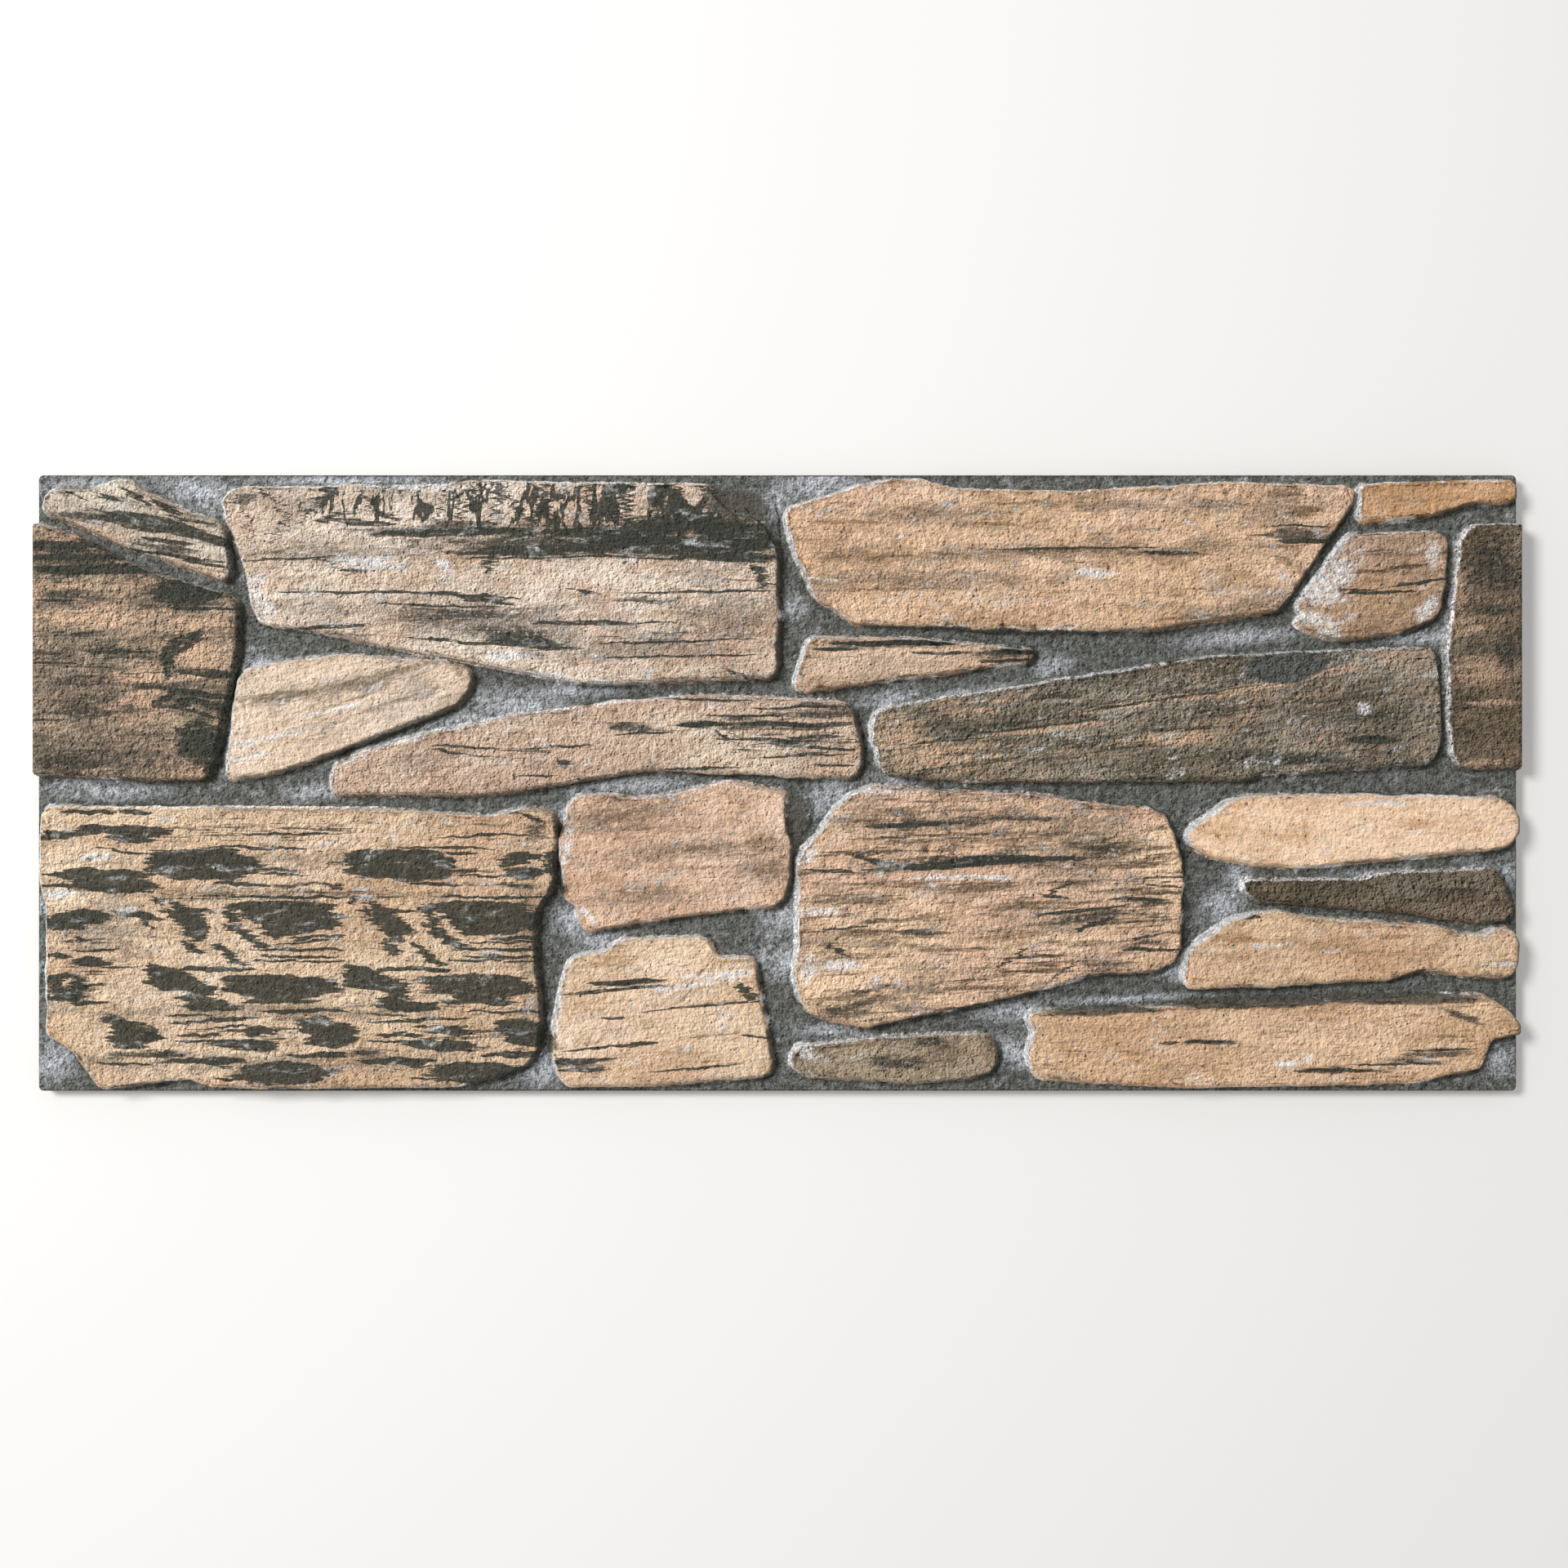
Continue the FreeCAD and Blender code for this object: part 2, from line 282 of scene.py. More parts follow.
def powder(x, y):
    # How much pale powder lies in the joints at a place: 1 in the middle of a patch, 0 outside
    amount = 0.0
    for atX, atY, long, thick, angle in jointPowder:
        turn = math.radians(angle)
        along = ((x - atX) * math.cos(turn) + (y - atY) * math.sin(turn)) / long
        across = ((y - atY) * math.cos(turn) - (x - atX) * math.sin(turn)) / thick
        amount = max(amount, 1 - math.sqrt(along ** 2 + across ** 2))
    return amount


def makeTile():
    bm = solidCopy()
    refineFace(bm)
    bm.normal_update()
    say("face refined to %d triangles" % len(bm.faces))
    islands = crestIslands(bm)
    names = nameIslands(islands)
    say("stone tops found: %d" % len(islands))
    tree, owners, outwards = crestOutlines(bm, islands)
    onTop = {v for island in islands for f in island for v in f.verts}
    bm.normal_update()
    insideLayer = bm.verts.layers.float["inside"]
    litLayer = bm.verts.layers.float["lit"]
    powderLayer = bm.verts.layers.float["powder"]
    slots = list(stones)
    insideOf = {}
    normals = {v: v.normal.copy() for v in bm.verts}
    for vert in bm.verts:
        around = tree.find_n((vert.co.x, vert.co.y, 0), 12)
        index, distance = around[0][1:]
        inside = distance / mm if vert in onTop else -distance / mm
        outward = sum((outwards[i] for _, i, _ in around), Vector((0, 0))).normalized()
        vert[insideLayer] = inside
        vert[litLayer] = outward.dot(Vector(tileRelief["litFrom"]))
        vert[powderLayer] = powder(vert.co.x / mm, vert.co.y / mm)
        insideOf[vert] = (inside, names[owners[index]])
    for face in bm.faces:
        middle = face.calc_center_median()
        face.smooth = True
        if face.normal.z < -0.5 or (abs(face.normal.z) < 0.3 and all(atTileSide(v.co) for v in face.verts)):
            face.material_index = len(slots)
            continue
        face.material_index = slots.index(names[owners[tree.find((middle.x, middle.y, 0))[1]]])
    sideStart, sideWidth = tileRelief["sideFade"]
    for vert in bm.verts:
        if not onFace(vert):
            continue
        inside, name = insideOf[vert]
        toSide = min(cadBox[1].x - abs(vert.co.x), cadBox[1].y - abs(vert.co.y)) / mm
        sideFade = min(1.0, max(0.0, toSide - sideStart) / sideWidth)
        if atTileSide(vert.co):
            sideFade = 0.0
        roughen(vert, normals[vert], inside, sideFade, math.radians(stones[name]["bedding"]))
    mesh = bpy.data.meshes.new("stoneTile")
    bm.to_mesh(mesh)
    bm.free()
    return mesh


# The stones' prints: where the middle lies, the slope of the bedding in degrees, and the colours of the
# rock from the palest patches to the darkest streaks. Layers are how much dark streaks, hair lines, dirt
# and brown clouds show, speckle and blush the same for pale flecks and pink clouds, and grain how strongly
# painted light and shade fall on the grains. The flanks that face the left are as white as powdered says,
# with white powder and painted highlight; worn is how well blots cover where they are thinnest, fray
# and bent how far, in mm, the ends and the outlines of blots wander.
# The rest has its own place: x, y, length and thickness in mm, and the turn in degrees if there is one.
# Blots are crisp and nearly black, smudges and soft marks dark without a clear edge, tan and brown are
# warm patches, chalk is white: pale patches of the print, and along edges and slopes that face the light
# also painted highlight. Grout has the colour of the joints, and chip is a dark grey-brown laid over the
# joints too: painted shade in the recesses of broken corners, and dark print along a stone's rim. Lined
# marks draw more hair lines, and where teeth are, veins hang from the crest. The motif of the spotted slab
# comes again after its period.

stones = {}
stones["topLeftWedge"] = dict(
    at=(-258, 101), bedding=-10, rock="#CDC2B1 #B29E8A #896E50 #45423A", layers=(0.5, 0.4, 0.3, 0.4),
    grain=3, fray=12,
    blots=[(-254, 105, 36, 6.6, -8), (-232.5, 99.5, 35, 4.3, -14), (-259, 115.5, 14, 2.6, -35),
    (-246, 111, 13, 2.6, -25), (-283.5, 116, 8.5, 1.3, -25), (-270.5, 115.5, 10.5, 1.6, -20),
    (-237.5, 106, 19.5, 1.6, -12), (-246, 97.5, 19.5, 2, -8), (-242.5, 91.5, 39.5, 1.3, -8),
    (-231, 88.5, 19.5, 1.6, -12)],
    smudges=[(-277, 108, 46, 7.2, -2), (-247.5, 95, 39.5, 5.9, -10)],
    tan=[(-237.5, 86, 39.5, 8.6, -8), (-272, 100, 26.5, 4.6, -22)],
    chalk=[(-236, 110, 19.5, 4.6, -20)],
)
stones["leftEndBlock"] = dict(
    at=(-259, 52), bedding=1, rock="#B59D86 #8B7D6C #615B4D #44433D", layers=(0.5, 0.35, 0.75, 0.85),
    speckle=0.6, grain=3.8, worn=0.45, blush=0.5, fray=7, tanPaint="#C9A88B",
    soft=[(-265, 92, 90, 26), (-262, 12, 100, 28), (-290, 40, 50, 30), (-240, 74, 60, 14)],
    lined=[(-275, 90, 70, 22), (-270, 45, 60, 40)],
    blots=[(-284, 96, 60, 3), (-268, 86, 70, 4), (-280, 91, 50, 2.5), (-238, 77, 26, 10),
    (-239, 56, 20, 5, 35), (-246, 49, 5, 14), (-228, 44, 34, 3, -4), (-241, 34, 12, 8),
    (-226, 31, 36, 3, -12), (-233, 16, 16, 18, -25), (-227, 11, 12, 16), (-243.5, 55.5, 11, 4.6, 35),
    (-246.5, 47.5, 10, 2.3, 88), (-232.5, 36, 33, 2.6, -8), (-245.5, 33, 14.5, 4.9, 15),
    (-236, 29, 29.5, 1.6, -15), (-234, 16.5, 19.5, 5.9, -30), (-228.5, 12, 8.5, 15.1, 10),
    (-278.5, 60.5, 14.5, 1, 5), (-293, 48.5, 23, 1), (-293.5, 25.5, 16.5, 1), (-231, 70.5, 26.5, 1.3),
    (-290, 73.5, 16.5, 1.3), (-242.5, 74.5, 19.5, 3.3), (-234, 45, 19.5, 2), (-264, 53, 29.5, 1.3)],
    smudges=[(-283.5, 91.5, 62.5, 21.7), (-236, 76.5, 43, 11.8), (-285, 76, 29.5, 5.3),
    (-283.5, 8, 49.5, 13.2), (-280.5, 30, 49.5, 13.2), (-293.5, 52, 29.5, 6.6), (-264, 52, 29.5, 5.9),
    (-231, 14.5, 19.5, 16.4, -30), (-254, 39, 19.5, 5.3)],
    tan=[(-277, 80, 56, 2.3), (-277, 67, 62.5, 11.2), (-232.5, 50.5, 26.5, 19.7), (-255.5, 42.5, 23, 7.9),
    (-242.5, 4, 36, 4.6), (-234, 64, 33, 7.9)],
)
stones["upperCentreSlab"] = dict(
    at=(-110, 82), bedding=0, rock="#E2D1BF #CDB7A2 #A6866A #474438", layers=(0.35, 0.4, 0.35, 0.5), grain=3,
    worn=0.5, blush=0.45, fray=20, bent=1.2,
    teeth=[(-60, 111, 170, 30), (-35, 108, 90, 36), (-150, 112, 90, 14)],
    lined=[(-130, 68, 60, 14), (-100, 56, 60, 12), (-60, 57, 120, 10)],
    soft=[(-118, 66, 130, 26, -3), (-100, 97, 110, 16), (-30, 98, 120, 30, -4), (-180, 92, 90, 12),
    (-20, 66, 60, 30), (-60, 55, 120, 16)],
    blots=[(-42, 95.5, 76, 7, -1), (-14, 101, 40, 9, -8), (-66, 101, 60, 4, 1), (-82, 94, 72, 4),
    (-22, 91.5, 44, 5, -3), (-132, 101, 66, 3, 2), (-112, 92.5, 46, 2), (-40, 104.5, 34, 5, 2),
    (-123, 116, 12.5, 3, 85), (-129.5, 112, 19.5, 2.3, -60), (-137, 109, 14.5, 1.6, 80),
    (-113.5, 109, 19.5, 2, 70), (-112, 117.5, 10.5, 3.6, 80), (-104.5, 111, 19.5, 2, -50),
    (-93.5, 115.5, 16, 4.3, 80), (-90.5, 104, 16.5, 3.3, -75), (-99.5, 104, 14.5, 2.3, 60),
    (-75.5, 114, 18, 2.6, -80), (-68, 110, 18, 2, 65), (-61.5, 111.5, 21.5, 4.3, 88),
    (-60.5, 97.5, 19.5, 4.6, 88), (-48.5, 108, 19.5, 3.9, 80), (-39.5, 114, 18, 4.3, -75),
    (-35, 107, 11, 2.6, -40), (-25, 110, 14.5, 3.3, 60), (-28, 117.5, 8.5, 2.6, -45),
    (-182.5, 117.5, 13, 4.9, 60), (-164, 114, 10.5, 2.6, -55), (-158.5, 108, 14.5, 2, -20),
    (-178.5, 107.5, 15, 1.6, 20), (-199.5, 111, 11, 1.6, -70), (-200, 102.5, 13, 1.3, 70),
    (-213, 105.5, 15, 1.3, -80), (-208, 118, 7, 2.6, -60), (-190, 109, 12, 1.3, 75),
    (-168.5, 105, 23, 2.6, -5), (-196.5, 90.5, 39.5, 1, 2), (-180, 88, 16.5, 1.3, -30),
    (-168.5, 85.5, 16.5, 1), (-163.5, 77, 72.5, 1), (-128.5, 76, 43, 1.3, -4), (-116, 73.5, 23, 1.6, -8),
    (-139, 71.5, 43, 1, -2), (-32, 77, 62.5, 1, 1), (-75.5, 77, 13, 1.3, -8), (-78, 64.5, 43, 2),
    (-69.5, 64.5, 62.5, 0.7), (-180, 63, 33, 1.3, 3), (-125.5, 57, 46, 1.3, -4), (-97.5, 55, 33, 1.6, -3),
    (-43.5, 57, 62.5, 1, 2), (-40, 51, 59, 1, 1), (-102.5, 57.5, 29.5, 3.9, -6), (-116.5, 89, 3.5, 7.9),
    (-14, 43.5, 14.5, 1.3, -20), (-6.5, 83, 11, 5.3, -55), (-89.5, 91, 79, 1, 1), (-43.5, 90.5, 29.5, 1)],
    smudges=[(-76.5, 98, 151.5, 15), (-129, 103, 59, 8.6), (-148.5, 101.5, 52.5, 4.6),
    (-23.5, 99, 60, 18, -4), (-129, 68, 62.5, 8.6), (-106, 60.5, 43, 7.2, -2), (-216, 114, 14.5, 6.6, 20),
    (-116, 95, 52.5, 5.3), (-17, 91.5, 36, 6.6), (-53.5, 73.5, 29.5, 3.3), (-43.5, 105, 36, 13.2)],
    chalk=[(-165, 89, 36, 8.6), (-134.5, 88, 11, 5.3, -20), (-207.5, 73.5, 26.5, 8.6, -70),
    (-109, 50.5, 19.5, 5.3, -4), (-96, 43.5, 39.5, 3.3, -8), (-71.5, 40.5, 39.5, 2.6), (-61, 89.5, 16.5, 2),
    (-142, 119, 52.5, 2.6), (-83, 121, 49.5, 2)],
    chip=[(-15, 112, 28, 14, -12)],
)
stones["leafStone"] = dict(
    at=(-180, 30), bedding=14, rock="#ECD7C4 #DAC0A5 #9B8970 #86745E", layers=(0.45, 0.2, 0.15, 0.45),
    grain=2.1, blush=0.15,
    soft=[(-165, 41, 90, 9, 13), (-200, 35, 50, 7, 8), (-150, 34, 70, 6, 18)],
    brown=[(-175, 39.5, 92, 5, 13), (-204.5, 35, 43, 4, 8), (-155.5, 45, 46, 5, 11),
    (-129, 44.5, 9, 4, -50)],
    chalk=[(-204.5, 18.5, 39.5, 3.3, 12), (-211, 11, 23, 3.3, 14), (-181.5, 29, 52.5, 2, 12)],
)
stones["archedCourse"] = dict(
    at=(-70, 13), bedding=1, rock="#D6C1AB #C4A893 #A38164 #3F3B33", layers=(0.25, 0.5, 0.3, 0.45),
    grain=3.1, fray=16,
    lined=[(8, 20, 96, 36), (0, 24, 110, 26), (-110, 12, 60, 12)],
    blots=[(-27, 33.5, 34, 1, -1), (8, 30.5, 40, 1, 2), (6, 23.5, 44, 1.8, -1), (-23.5, 19.5, 13, 1.3, -30),
    (-4, 17.5, 38, 1.2, -2), (10, 11, 34, 1, 3), (16, 18.5, 22, 1.8), (20, 14, 20, 1.3, -2),
    (-30.5, 23.5, 19.5, 2.3), (-19.5, 21.5, 8.5, 1, -60), (-15.5, 15.5, 8, 1, 80), (-53.5, 20, 23, 1, 2),
    (-89.5, 14.5, 29.5, 1, 3), (-125.5, 14.5, 29.5, 1, -2), (-128.5, 12, 23, 1, -8), (-86, 8, 7, 3),
    (-10, 27, 26, 1, 1), (22, 7, 20, 1), (-30.5, 6, 29.5, 1, 2), (-96, 3, 16.5, 1)],
    smudges=[(-17, 26, 26.5, 3.3), (-33.5, 23.5, 26.5, 4.6), (-60, 22.5, 26.5, 6.6), (16, 27.5, 43, 4.6),
    (19, 31, 26.5, 4.6), (-7, 23.5, 59, 4.6), (9, 16, 46, 4.6)],
    chalk=[(-168.5, 12, 23, 6.6, 25), (-147, 18.5, 29.5, 3.9, 18)],
)
stones["upperRightSlab"] = dict(
    at=(115, 92), bedding=-1, rock="#EAC8AB #D6B391 #8C6D4E #6E563D", layers=(0.3, 0.15, 0.2, 0.6),
    grain=2.7,
    soft=[(110, 93, 220, 9, 1), (50, 82, 150, 10), (205, 110, 44, 24), (150, 112, 120, 8), (60, 108, 90, 12),
    (190, 72, 80, 8, 8)],
    blots=[(211.5, 97.5, 19.5, 2.3), (210, 103.5, 23, 1), (157.5, 93, 23, 1.6), (120, 94.5, 60, 1, 1)],
    smudges=[(210, 100, 33, 7.2)],
    brown=[(81.5, 104, 52.5, 3), (32, 105, 46, 3), (48.5, 91.5, 85.5, 2.3, 1), (114.5, 93.5, 72.5, 3.6, 2),
    (157.5, 92.5, 59, 3.3), (200, 95.5, 39.5, 1.6, 2), (206.5, 88.5, 19.5, 5.9, -30),
    (202.5, 117.5, 19.5, 8.6), (180.5, 116.5, 4, 7.9), (22.5, 113, 12, 1.6), (9, 102.5, 10, 1.3),
    (42, 78, 105.5, 2.3), (164, 66.5, 49.5, 2, 3), (95, 113, 52.5, 2), (213, 110, 19.5, 9.9)],
    chalk=[(19, 82, 21.5, 1.6, -4), (129.5, 85, 19.5, 4.6)],
)
stones["thinWedge"] = dict(
    at=(46, 50), bedding=0, rock="#D6BBA2 #C0A288 #987B5E #45403A", layers=(0.45, 0.35, 0.3, 0.4), grain=2.6,
    blots=[(48.5, 56.5, 49.5, 2.3), (65, 52.5, 23, 1.3), (92, 49.5, 19.5, 1.6, 2), (96.5, 53, 16.5, 2.6),
    (22.5, 54, 16.5, 1.6)],
    smudges=[(25.5, 54.5, 26.5, 3.3), (48.5, 56.5, 62.5, 4.6), (90, 52, 33, 5.9)],
)
stones["darkCourse"] = dict(
    at=(165, 27), bedding=7, rock="#9F9686 #756D5A #554E41 #33312A", layers=(0.6, 0.4, 0.55, 0.7),
    speckle=0.9, grain=4.2, blush=0.35, tanPaint="#BE9E82",
    soft=[(150, 44, 190, 16, 7), (235, 26, 70, 44), (90, 26, 90, 12, 6), (190, 9, 120, 12)],
    blots=[(68.5, 17, 36, 1, 5), (104.5, 22.5, 66, 1, 7), (157.5, 34, 72.5, 1, 9), (239.5, 17.5, 19.5, 3.3)],
    smudges=[(213, 9.5, 66, 6.6)],
    tan=[(48, 17.5, 26.5, 27.6), (70, 11, 56, 13.2), (81.5, 33, 33, 2), (108, 21.5, 72.5, 2.3, 7),
    (149, 32.5, 49.5, 3.6, 10), (190, 38, 59, 3.9, 9), (226.5, 44.5, 46, 2.6, 12), (247.5, 53, 23, 2.3),
    (157.5, 17.5, 49.5, 7.2), (75, 29, 29.5, 4.6), (226.5, 46.5, 29.5, 1.6, 12)],
    chalk=[(237, 30, 8, 5)],
    grout=[(205, 47.5, 31.5, 14.5, 4)],
)
stones["cornerStrip"] = dict(
    at=(268, 115), bedding=2, rock="#DFB58F #C79D75 #9F7746 #6E5030", layers=(0.3, 0.1, 0.1, 0.5), grain=2.2,
    blush=0.25,
    brown=[(259.5, 114, 39.5, 2.6, 2)],
    chalk=[(234, 112, 16.5, 5.3, 90)],
)
stones["smallBlock"] = dict(
    at=(246, 80), bedding=4, rock="#CAAE98 #B09173 #84654D #45362A", layers=(0.45, 0.3, 0.25, 0.5),
    grain=2.7,
    blots=[(260, 81, 23, 1.3, 8), (243, 77, 29.5, 1.3, 2), (230.5, 78, 19.5, 1)],
    smudges=[(252.5, 87, 23, 2.6, 5)],
    chalk=[(226.5, 94.5, 16.5, 5.3, 55), (221, 79, 44, 17, 58), (215, 67, 26.5, 9.9, -20),
    (222.5, 60, 16.5, 4.6, -10), (264.5, 92.5, 18.5, 6.6, 80), (262.5, 70.5, 16.5, 5.9, 60)],
)
stones["rightEndBlock"] = dict(
    at=(286, 55), bedding=0, rock="#857765 #625645 #4C4438 #352F27", layers=(0.45, 0.3, 0.6, 0.8),
    speckle=0.7, grain=4, flankPowderAndHighlight=0.3, blush=0.2, tanPaint="#AF937C",
    smudges=[(289, 89, 29.5, 26.3), (290, 70, 20, 6), (294, 52, 12, 20)],
    tan=[(274.5, 78.5, 8, 36.2), (284, 45.5, 36, 14.5), (275.5, 64, 16.5, 9.9), (284, 7.5, 36, 4.6),
    (289, 32.5, 23, 3.9), (279, 62, 13, 3.9)],
)
stones["spottedSlab"] = dict(
    at=(-195, -67), bedding=0, rock="#E0C8AC #CDAE8F #A08160 #33322A", layers=(0.3, 0.45, 0.15, 0.5),
    grain=2.8, worn=0.85, fray=15, bent=3.5,
    lined=[(-196, -66, 60, 10), (-115, -68, 50, 12), (-214, -101, 70, 14), (-135, -101, 60, 14),
    (-278, -70, 40, 30), (-200, -20, 180, 12), (-210, -45, 170, 8)],
    soft=[(-215, -31, 160, 8), (-200, -45, 180, 6), (-272, -60, 50, 30), (-210, -92, 200, 8),
    (-200, -112, 200, 10), (-100, -60, 14, 80)],
    blots=[(-275.5, -12, 21.5, 2), (-259, -12, 12, 2), (-289, -21, 16, 3.9), (-276, -19, 12.5, 4.3),
    (-259, -19.5, 27.5, 4.9), (-262, -22.5, 19.5, 3), (-263, -27.5, 21.5, 1, -8), (-272, -37, 39.5, 4.9),
    (-268, -40.5, 36, 6.6, -5), (-285.5, -36, 19.5, 2.3, 10), (-283, -41.5, 26.5, 1.3),
    (-282, -54.5, 27, 6.6, 3), (-287.5, -57.5, 14.5, 3.9), (-258, -53.5, 20.5, 2.6, -7),
    (-255.5, -56.5, 10, 1.6, -30), (-280.5, -63, 7, 1), (-289.5, -70, 10.5, 2.3), (-273, -67, 16.5, 1, 2),
    (-276.5, -72, 13, 4.3), (-267, -74.5, 16.5, 1), (-287, -78, 18.5, 2), (-287.5, -85.5, 16.5, 4.6),
    (-281, -81, 6.5, 5.3), (-291.5, -81.5, 6.5, 6.6), (-275.5, -81.5, 11, 1.3), (-278.5, -89, 13, 1.6),
    (-263, -97.5, 18, 5.9, -20), (-259, -102.5, 23, 6.6, -5), (-260.5, -106, 16.5, 2.3),
    (-264, -113, 21.5, 1), (-103.5, -30.5, 17, 5.3, 10), (-102.5, -36.5, 16.5, 4.6),
    (-101.5, -13, 19.5, 1.3, -12), (-129, -28.5, 10, 1.3)],
    smudges=[(-283.5, -83.5, 19.5, 11.2), (-257.5, -109.5, 36, 3.3), (-273.5, -42.5, 29.5, 2.6),
    (-97.5, -18.5, 10, 13.2), (-254, -122, 39.5, 2.6)],
    chalk=[(-288.5, -45, 16.5, 5.3), (-275.5, -30, 19.5, 3.9)],
    motif=[(-235, -29.5, 39, 5.3, 2), (-233.5, -35.5, 41, 7.2, -3), (-218.5, -33.5, 20.5, 8.6),
    (-246, -30.5, 16.5, 7.9), (-217, -41, 21, 1.6, -3), (-199.5, -37, 19.5, 1), (-201.5, -21, 29.5, 1, 1),
    (-186.5, -20.5, 13, 1), (-168.5, -19.5, 11, 2.6), (-237, -51.5, 23, 1.3), (-236, -58.5, 15, 6.3, -42),
    (-243.5, -53.5, 11, 1.6, -45), (-235, -66, 9, 3.6, -35), (-250.5, -47.5, 5.5, 2.3, -50),
    (-219.5, -53.5, 10.5, 3.9, -48), (-214, -61.5, 19.5, 3.9, -28), (-200.5, -50, 43, 4.9),
    (-196, -53.5, 38, 7.2, -3), (-189.5, -56.5, 28.5, 6.6), (-174.5, -53.5, 21.5, 1.3, -10),
    (-185.5, -62, 21, 1), (-189, -64, 26.5, 1, 3), (-222.5, -68, 11, 3, -40), (-217.5, -71.5, 11, 2.3, -20),
    (-197.5, -67, 25, 1), (-184, -67, 21, 1.3), (-191, -70, 31.5, 1.3), (-200.5, -71.5, 19.5, 1),
    (-183, -72, 19.5, 1), (-248.5, -76, 18.5, 3, -18), (-246, -80.5, 20.5, 5.3, -8),
    (-235, -82, 17, 7.6, -22), (-235, -87, 12.5, 3.6), (-204, -79.5, 41.5, 4.9), (-199.5, -83.5, 31.5, 8.6),
    (-200.5, -88, 28.5, 2), (-228.5, -90, 23.5, 4.3), (-237, -93.5, 18, 1, -3), (-229, -96, 34, 1, 2),
    (-219, -95, 21, 1.3), (-221, -98, 14.5, 1, 3), (-210, -100, 12.5, 4.3, -5), (-215, -100, 21, 1.3),
    (-236, -101.5, 8.5, 1.6), (-227, -101.5, 7, 1.6), (-233.5, -104, 18, 1), (-222.5, -104, 21, 1.3),
    (-214.5, -105.5, 28.5, 3.6), (-181, -100, 25, 8.6, -12), (-179, -104.5, 19.5, 3.3),
    (-260.5, -100, 25, 8.6, -12), (-177.5, -109.5, 36, 2.6), (-230.5, -113, 21.5, 1, -8),
    (-199.5, -117, 39.5, 8.6), (-219.5, -119, 14.5, 1), (-192, -58, 30, 6, 8), (-236, -55, 20, 7, -40),
    (-208, -56, 16, 5, -40), (-245, -78, 26, 7, -15), (-199, -82, 44, 9), (-226, -75, 30, 2),
    (-180, -62, 30, 1.5, 4), (-212, -26, 40, 1.2), (-190, -46, 60, 1.2), (-232, -112, 34, 2.5),
    (-186, -92, 40, 1.5)],
    motifSmudges=[(-188, -41, 39.5, 2.3), (-204.5, -35.5, 26.5, 2.6), (-246, -109, 23, 4.6),
    (-208, -107.5, 29.5, 2.6)],
)
stones["centreBlock"] = dict(
    at=(-40, -29), bedding=3, rock="#EECFB6 #D8B69B #A88669 #75593F", layers=(0.3, 0.05, 0.2, 0.7),
    grain=2.4,
    soft=[(-62, -14, 60, 18, 5), (-30, -27, 110, 10, 6), (-5, -34, 40, 20), (-52, -45, 60, 10, 4)],
    brown=[(-27, -26.5, 75.5, 3.3, 2), (-30.5, -34, 52.5, 2, 2), (-63, -13.5, 39.5, 11.2),
    (-4, -34, 16.5, 11.2), (-53.5, -43, 33, 3.9), (-7, -23.5, 19.5, 6.6)],
    chalk=[(-85, -25, 23, 5.3, 80), (-75.5, -54.5, 13, 3.9, -50)],
    chip=[(8.6, -15, 25, 12, -78)],
)
stones["centreFootBlock"] = dict(
    at=(-47, -93), bedding=5, rock="#EED4B8 #DABA9B #AF8D6A #5C4C38", layers=(0.3, 0.25, 0.15, 0.45),
    grain=2.2,
    blots=[(-65, -83.5, 46, 1.3, 5), (-60.5, -80.5, 29.5, 2.3, 3), (-29.5, -90, 44.5, 1, 6),
    (-68, -106.5, 38, 1, 6), (-57, -105.5, 16.5, 2, 6), (-33, -115, 39.5, 1, 5), (-81.5, -112.5, 18, 3.3),
    (-75.5, -111.5, 19.5, 1.3), (-79, -116, 21.5, 1.3), (-67.5, -95, 11, 1.3), (-12, -84.5, 10, 3.6, -40),
    (-9, -102.5, 11, 1, -5)],
    smudges=[(-60, -81, 33, 3.6, 3), (-79.5, -114, 26.5, 6.6)],
    brown=[(-66.5, -72, 26.5, 9.9), (-20.5, -72, 23, 2.6), (-37, -109, 36, 2.6)],
    chalk=[(-23.5, -77.5, 39.5, 4.6, 4), (-89, -89, 36, 6.6, 84), (-33.5, -81.5, 36, 2.6, 6),
    (-27, -62, 13, 2.6)],
)
